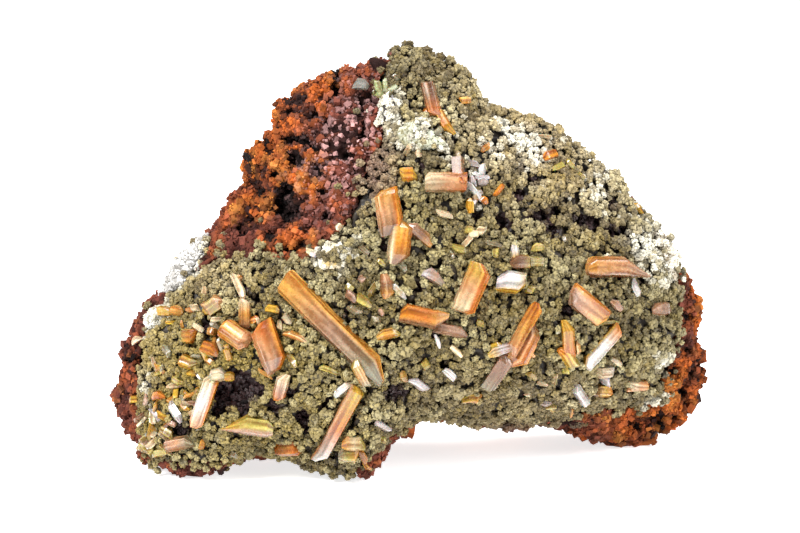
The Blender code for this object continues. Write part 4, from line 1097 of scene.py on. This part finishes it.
def druse_tint(spots, lift, swell, depth, to_calcite, random):
    """Grey-green balls, painted lighter where they stand proud, a painted highlight, and browner in
    the valleys, a painted shade. They are yellower at the lower left, lighter and less blue in a
    few painted pools of light, white where they are frosted and dark purple in the hollows, a
    painted shade."""
    places = place_of(spots)
    chance = random.normal(0, 0.2, len(spots))
    # Painted highlight and shade: balls that stand out are lighter and those in the valleys darker,
    # with some random spread.
    tint = blend(SHADE_OLIVE, OLIVE, 0.5 + lift * 0.5 + swell * 0.8 + chance)
    tint = blend(tint, PALE_OLIVE, lift * 0.6 - 0.15 + swell * 0.5 + cloud(spots, 4, 41) * 0.7)
    yellow = 0.8 * hill(places, (-26, 12), 14, 12) + cloud(spots, 3.5, 43) * 0.5
    tint = blend(tint, YELLOW_GREEN, yellow + random.normal(0, 0.15, len(spots)))
    white = np.zeros(len(spots))
    for middle, width, height, turn, strength in FROSTED:
        white = np.maximum(white, strength * hill(places, middle, width, height, turn))
    white = white * np.clip(0.8 + 2.2 * cloud(spots, 3.0, 47, 2), 0, 1.5)
    beside = np.exp(-np.abs(to_calcite) / 0.8) * (0.5 + 1.6 * cloud(spots, 1.8, 48, 2))
    white = np.clip(np.maximum(white, beside), 0, 1)
    chance = random.random(len(spots))
    # Painted pools of light: balls in these spots are made lighter and bluer, and all others darker
    # and less blue.
    bright = np.maximum(hill(places, (17, 43), 15, 8, -35), 0.7 * hill(places, (-27, 26), 6, 5))
    bright = np.maximum(bright, 0.35 * hill(places, (-34, 14), 5, 9))
    bright = np.maximum(bright, 0.45 * hill(places, (15, 8.5), 18, 4.5))
    tint = tint * (0.62 + 0.5 * bright)[:, None]
    tint = tint * np.column_stack((np.ones((len(tint), 2)), 0.88 + 0.3 * bright))
    tint = blend(tint, MAUVE, hill(places, (-4.8, 39.5), 3.6, 5.0) * 0.7 - 0.1)
    tint = blend(tint, SHADE_OLIVE, hill(places, (1.5, 53.0), 5.5, 4.0) * 0.6)
    tint = blend(tint, MAROON_BROWN * 0.6, hill(places, (17, 4.6), 10, 0.9) * 1.2)
    tint = blend(tint, FROST, np.where(chance < white * 1.2, 0.4 + 0.5 * white, white * 0.35))
    # Painted shade: balls deep in the hollows are painted dark purple.
    return blend(tint, HOLLOW_SHADE_PURPLE, depth * 1.15 - 0.25)


ball_tint = druse_tint(middles, lift, swell, depth, to_calcite, random)

# %% Grains of the druse
GRAINS_A_BALL = 10
BALLS_A_PIECE = 1950


def druse_piece(name, middles, outward, sizes, tint, grains, material, replaced, random):
    """Balls with grains: a core for each ball, and grains on its outward half."""
    core_points, core_faces = copies(round_form(1), middles, sizes * 0.95, random, 0.14)
    around = outward_directions(outward, grains, random)
    seats = (middles[:, None] + around * (sizes[:, None] * 0.8)[..., None]).reshape(-1, 3)
    grain_sizes = np.repeat(sizes, grains) * random.uniform(0.38, 0.62, len(seats))
    grain_points, grain_faces = copies(sharp_form(), seats, grain_sizes, random, 0.25)
    each = np.repeat(tint, grains, axis=0)
    each = np.clip(each * random.uniform(0.72, 1.35, (len(each), 1)), 0, 1)
    all_points = np.concatenate((core_points, grain_points))
    all_faces = np.concatenate((core_faces, grain_faces + len(core_points)))
    # The cores are painted at 0.4 of their ball's tint: painted shade in the gaps between the
    # grains.
    colours = np.concatenate((np.repeat(tint * 0.4, 12, axis=0), np.repeat(each, 6, axis=0)))
    all_points[:, 2] = np.maximum(all_points[:, 2], 0)
    return mesh_piece(name, all_points, all_faces, material, replaced, colours,
                      smooth=False)


order = np.argsort(middles[:, 0])
for number, start in enumerate(range(0, len(order), BALLS_A_PIECE)):
    some = order[start:start + BALLS_A_PIECE]
    druse_piece(f"mimetite_druse_{number + 1}", middles[some], outward[some], sizes[some],
                ball_tint[some], GRAINS_A_BALL, mimetite, ["mimetite_crust"], random)

# %% [markdown]
# ## White calcite
# The white patches are sugary calcite: a lumpy mass covered with small glassy grains. Each
# patch's CAD solid is remeshed and moved by noise for the mass. Grains are scattered over it in
# the same way as the balls of the druse, smaller and more angular.

# %% Calcite patches
# Two tones for each patch. The dim one is also painted into the low parts of the mass as shade.
CALCITE_TONES = {
    "calcite_left_shoulder": (linear(212, 210, 206), linear(140, 136, 130)),
    "calcite_left_edge": (linear(228, 226, 216), linear(158, 152, 128)),
    "calcite_middle_patch": (linear(226, 222, 208), linear(186, 160, 98)),
    "calcite_top_cluster": (linear(206, 208, 188), linear(140, 134, 102)),
    "calcite_top_patch": (linear(222, 218, 222), linear(138, 126, 124)),
    "calcite_right_rim": (linear(226, 220, 206), linear(162, 146, 118)),
}
random = np.random.default_rng(23)
for name, (pale, dim) in CALCITE_TONES.items():
    points, normals, quads = fine_copy(name, 0.22)
    relief = 1.3 * cloud(points, 2.6, 51, 2) + 0.6 * (0.5 - nearest_seed(points, 1.2, 53)) - 0.35
    points = points + normals * relief[:, None]
    points[:, 2] = np.maximum(points[:, 2], 0)
    # Painted shade: the mass takes the dim tone where it lies low and the pale tone where it stands
    # out.
    tint = blend(dim, pale, 0.5 + relief * 1.5) * 0.8
    triangles = np.concatenate((quads[:, :3], quads[:, (0, 2, 3)]))
    spots, outward, _ = scatter(points, triangles, 1800, random)
    sizes = random.uniform(0.2, 0.5, len(spots))
    kept = apart(spots, sizes, 0.8)
    spots, sizes = spots[kept], sizes[kept]
    grain_points, grain_faces = copies(sharp_form(), spots, sizes, random, 0.35)
    grain_tint = blend(dim, pale, 0.7 + cloud(spots, 1.8, 55) + random.normal(0, 0.3, len(spots)))
    grain_tint = np.repeat(grain_tint * random.uniform(0.8, 1.1, (len(spots), 1)), 6, axis=0)
    points, faces, tint = joined(((points, triangles, tint),
                                  (grain_points, grain_faces, grain_tint)))
    mesh_piece(f"{name}_grains", points, faces, calcite, [name], tint, smooth=False)

# %% [markdown]
# ## Rust crumbs
# Close up the rusty rock is granular: a mass of earthy crumbs a third of a millimetre to a
# millimetre across, with a pink or ochre one here and there. They are scattered over the
# uncovered rock, closer together on the front than on the back.

# %% Rust crumbs
PINK_GRAIN = linear(196, 150, 146)
random = np.random.default_rng(29)
triangles = np.concatenate((rock_quads[:, :3], rock_quads[:, (0, 2, 3)]))
spots, outward, chosen = scatter(rock_points, triangles, 95000, random)
relief = rock_relief[triangles[chosen, 0]]
uncovered = distances(crust_tree, spots) > 0.35
in_front = (outward @ NEAR > -0.1) & (spots[:, 1] < 8)
depth = pressed(spots, ROCK_HOLLOWS, rock_tree)
wanted = uncovered & (spots[:, 2] > 0.5) & (in_front | (random.random(len(spots)) < 0.2))
wanted &= (depth < 1.0) | (random.random(len(spots)) < 0.3)
wanted &= relief + random.normal(0, 0.35, len(spots)) > -1.0
spots, outward, in_front = spots[wanted], outward[wanted], in_front[wanted]
relief, depth = relief[wanted], depth[wanted]
sizes = np.where(in_front, 0.17 + 0.33 * random.random(len(spots)) ** 2,
                 random.uniform(0.4, 0.75, len(spots)))
kept = apart(spots, sizes, 0.95)
spots, outward, sizes = spots[kept], outward[kept], sizes[kept]
# The crumbs take the rock's colours, with its painted highlight on proud spots and painted shade in
# hollows.
tint = rock_tint(spots, relief[kept] + random.normal(0.1, 0.2, len(spots)), depth[kept])
tint = tint * random.uniform(0.4, 1.3, (len(spots), 1))
broken = hill(place_of(spots), (-7.5, 43.5), 9, 5, 60) * (spots[:, 1] < 5)
broken = broken * (random.random(len(spots)) < 0.55)
tint = blend(tint, PINK_GRAIN, broken * random.uniform(0.2, 1, len(spots)))
order = np.argsort(spots[:, 0])
lots = np.array_split(order, math.ceil(len(order) / 14000))
for number, some in enumerate(lots):
    parts = []
    small = sizes[some] < 0.26
    for form, chosen in ((sharp_form(), some[small]), (rubble_form(), some[~small])):
        middles = spots[chosen] + outward[chosen] * 0.08
        middles[:, 2] = np.maximum(middles[:, 2], sizes[chosen] * 1.4)
        points, faces = copies(form, middles, sizes[chosen] * 1.1, random, 0.3)
        parts.append((points, faces, np.repeat(tint[chosen], len(form[0]), axis=0)))
    points, faces, colours = joined(parts)
    points[:, 2] = np.maximum(points[:, 2], 0)
    mesh_piece(f"limonite_crumbs_{number + 1}", points, faces, limonite, (),
               colours, smooth=False)

# %% [markdown]
# ## Floor and light
# The specimen stands on a plain white floor in a light tent: a bright room all round, a large
# lamp high at the left, a weaker one at the right and one above.

# %% Floor and light
floor_mesh = bpy.data.meshes.new("floor")
floor_mesh.from_pydata([(-4, -4, 0), (4, -4, 0), (4, 4, 0), (-4, 4, 0)], [], [(0, 1, 2, 3)])
floor = bpy.data.objects.new("floor", floor_mesh)
bpy.context.scene.collection.objects.link(floor)
paper = bpy.data.materials.new("white_paper")
paper.use_nodes = True
paper.node_tree.nodes["Principled BSDF"].inputs["Base Color"].default_value = (0.9, 0.9, 0.9, 1)
paper.node_tree.nodes["Principled BSDF"].inputs["Roughness"].default_value = 0.7
paper.node_tree.nodes["Principled BSDF"].inputs["Emission Color"].default_value = (1, 1, 1, 1)
paper.node_tree.nodes["Principled BSDF"].inputs["Emission Strength"].default_value = 0.74
floor_mesh.materials.append(paper)


def lamp(name, place, size, watts):
    """A square area lamp that faces the specimen's middle."""
    data = bpy.data.lights.new(name, "AREA")
    data.size = size
    data.energy = watts
    made = bpy.data.objects.new(name, data)
    made.location = place
    aim = Vector((0, 0, 0.025)) - Vector(place)
    made.rotation_euler = aim.to_track_quat("-Z", "Y").to_euler()
    bpy.context.scene.collection.objects.link(made)


lamp("high_left", (-0.45, -0.5, 0.65), 0.3, 13)
lamp("right", (0.6, -0.35, 0.4), 0.4, 5)
lamp("above", (0.0, 0.15, 0.8), 0.5, 7)
world = bpy.data.worlds.new("bright_room")
world.use_nodes = True
world.node_tree.nodes["Background"].inputs["Color"].default_value = (1, 1, 1, 1)
world.node_tree.nodes["Background"].inputs["Strength"].default_value = 0.22
bpy.context.scene.world = world
bpy.context.scene.view_settings.view_transform = "Standard"
